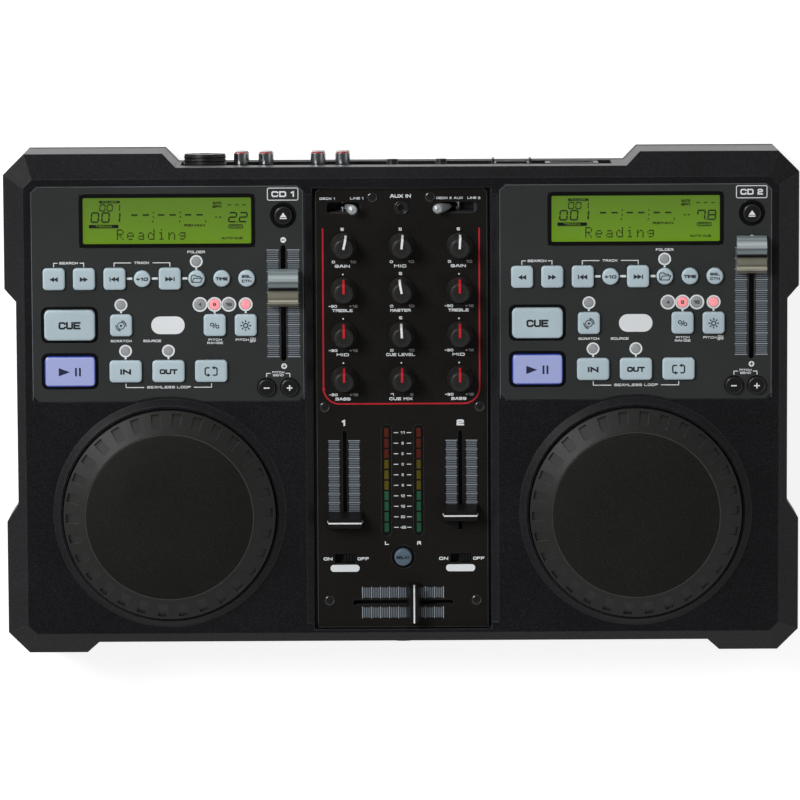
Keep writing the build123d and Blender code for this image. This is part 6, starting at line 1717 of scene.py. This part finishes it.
# The light line here is a painted highlight on the rim's inner edge.
JOG_HIGHLIGHT_RADIUS = 47.25 - 0.28  # just inside the rim's inner edge
FOIL_PROFILE = ((46.6, -0.3), (46.6, 0.04), (46.4, 0.12), (20.0, 0.14), (0.5, 0.14))
for number, deck_u in DECKS:
    foil, line = bmesh.new(), bmesh.new()
    loft(foil, [
        [(x, y, JOG_TOP + lift) for x, y in arc(deck_u, JOG_V, radius, steps=128)]
        for radius, lift in FOIL_PROFILE
    ])
    edge_of_rim = arc(deck_u, JOG_V, JOG_HIGHLIGHT_RADIUS, steps=128)
    stroke(line, edge_of_rim, 0.3, JOG_TOP - 0.2, 0.26, True)
    body_name = f"jog_wheel_{number}"
    piece(f"jog_foil_{number}", foil, jog_disc_skin, body_name)
    piece(f"jog_line_{number}", line, jog_line_grey, body_name)
print("jog wheels dressed")

# %% [markdown]
# ## Materials for the parts that keep their CAD mesh
# The rest of the CAD parts are right as they are. Each gets a finish from the table below.
# A part's mesh is left alone: only its object's material changes.

# %% Dress the CAD parts
def dress(node, material):
    """Give a CAD part its finish on the object, not on the mesh."""
    thing = NODES[node]
    while len(thing.data.materials) < 1:
        thing.data.materials.append(None)
    for slot_row in thing.material_slots:
        slot_row.link = "OBJECT"
        slot_row.material = material


FINISHES = {
    "top_housing": housing_skin, "bottom_pan": pan_paint, "rear_panel": rear_paint,
    "mixer_plate": mixer_paint, "deck_plates": deck_paint, "display_windows": window_glass,
    "display_modules": frame_black, "circuit_boards": board_green, "potentiometers": component_grey,
    "fader_tracks": component_grey, "switch_bodies": component_grey, "drive_frames": zinc_steel,
    "slot_bezels": bezel_gloss, "power_supply": supply_brown, "phono_jacks": nickel,
    "jack_sockets": socket_plastic, "power_inlet": socket_plastic, "screws": black_oxide,
    "feet": foot_rubber, "indicator_lenses": lamp_grey, "jog_bearings": brass,
    "jog_wheel_1": jog_rim_skin, "jog_wheel_2": jog_rim_skin, "relay_button": relay_skin,
    **pitch_reflection_materials, "crossfader": fader_plastic,
    "channel_fader_1": fader_plastic, "channel_fader_2": fader_plastic,
    "input_selector_1": lever_chrome, "input_selector_2": lever_chrome,
    "start_switch_1": fader_plastic, "start_switch_2": fader_plastic, "power_switch": bezel_gloss,
    "drive_turntable_1": fader_plastic, "drive_turntable_2": fader_plastic,
}
for node in NODES:
    if node in FINISHES:
        dress(node, FINISHES[node])
    elif "knob" in node:
        dress(node, knob_rubber)
    else:
        dress(node, key_skin)
print(len(NODES), "parts dressed")

# %% [markdown]
# ## Studio
# The floor and the low wall behind are one pale sweep. A lamp above to the left and rear is
# the main light, large enough for soft shadows that fall to the lower right, and a weaker one
# stands opposite. A third stands low at the rear left like a window: it skims the flat panel
# but makes the facet of the corner shine. The sweep adds a light of its own for the camera
# and for reflections only, so it reads white while the player keeps its shadow on it. The
# world is bright round the horizon and dark overhead, so that black surfaces that face up
# stay black.

# %% Sweep
SWEEP_PROFILE = (
    (0.6, 0.0), (3.0, 0.0), (8.0, 0.0), (12.0, 0.0), (14.5, 0.3), (15.6, 0.9), (16.0, 2.4),
)  # reach and height in metres
sweep_mesh = bmesh.new()
sweep_rings = [
    [(reach * math.cos(t), reach * math.sin(t), height) for t in turns(96)]
    for reach, height in SWEEP_PROFILE
]
loft(sweep_mesh, sweep_rings, closed_start=True, closed_end=False)
sweep_data = bpy.data.meshes.new("sweep")
sweep_mesh.to_mesh(sweep_data)
sweep_mesh.free()
sweep = bpy.data.objects.new("sweep", sweep_data)
bpy.context.scene.collection.objects.link(sweep)
sweep_white, sweep_tree, sweep_shader = new_material(
    "sweep_white", Base_Color=(0.55, 0.55, 0.55, 1.0), Roughness=0.9, Specular_IOR_Level=0.1,
    Emission_Color=(1.0, 1.0, 1.0, 1.0),
)
seen = place(sweep_tree, "LightPath").outputs
direct = maths(sweep_tree, "MAXIMUM", seen["Is Camera Ray"], seen["Is Glossy Ray"])
either = maths(sweep_tree, "MAXIMUM", direct, seen["Is Transmission Ray"])
glow = maths(sweep_tree, "MULTIPLY", either, 0.78)
sweep_tree.links.new(glow, sweep_shader.inputs["Emission Strength"])
sweep_data.materials.append(sweep_white)
print("sweep laid")

# %% Lamps and world
def lamp(name, stand, look_at, size, power):
    """A square soft lamp that faces a point."""
    data = bpy.data.lights.new(name, "AREA")
    data.size = size
    data.energy = power
    thing = bpy.data.objects.new(name, data)
    bpy.context.scene.collection.objects.link(thing)
    aim = (Vector(look_at) - Vector(stand)).to_track_quat("-Z", "Y")
    thing.matrix_world = Matrix.Translation(stand) @ aim.to_matrix().to_4x4()


lamp("lamp_main", (-1.75, 1.05, 2.5), (0.0, 0.0, 0.05), 1.2, 60.0)
lamp("lamp_fill", (1.9, -1.4, 1.9), (0.0, 0.0, 0.05), 1.6, 4.0)
lamp("lamp_window", (-2.1, 2.1, 0.42), (0.0, 0.0, 0.08), 0.8, 29.0)
world = bpy.data.worlds.new("studio")
world.use_nodes = True
sky_tree = world.node_tree
sky = sky_tree.nodes["Background"]
sky.inputs["Color"].default_value = (1.0, 1.0, 1.0, 1.0)
overhead = place(
    sky_tree, "SeparateXYZ", Vector=place(sky_tree, "TexCoord").outputs["Generated"]
).outputs[2]
sky_strength = place(
    sky_tree, "MapRange", {"clamp": True, "interpolation_type": "SMOOTHSTEP"},
    Value=overhead, From_Min=0.55, From_Max=0.92, To_Min=0.55, To_Max=0.1,
).outputs[0]
sky_tree.links.new(sky_strength, sky.inputs["Strength"])
bpy.context.scene.world = world
print("studio lit")

# %% [markdown]
# The dressed model has to fill the same box as the CAD model.

# %% End of the scene
print("scene dressed")
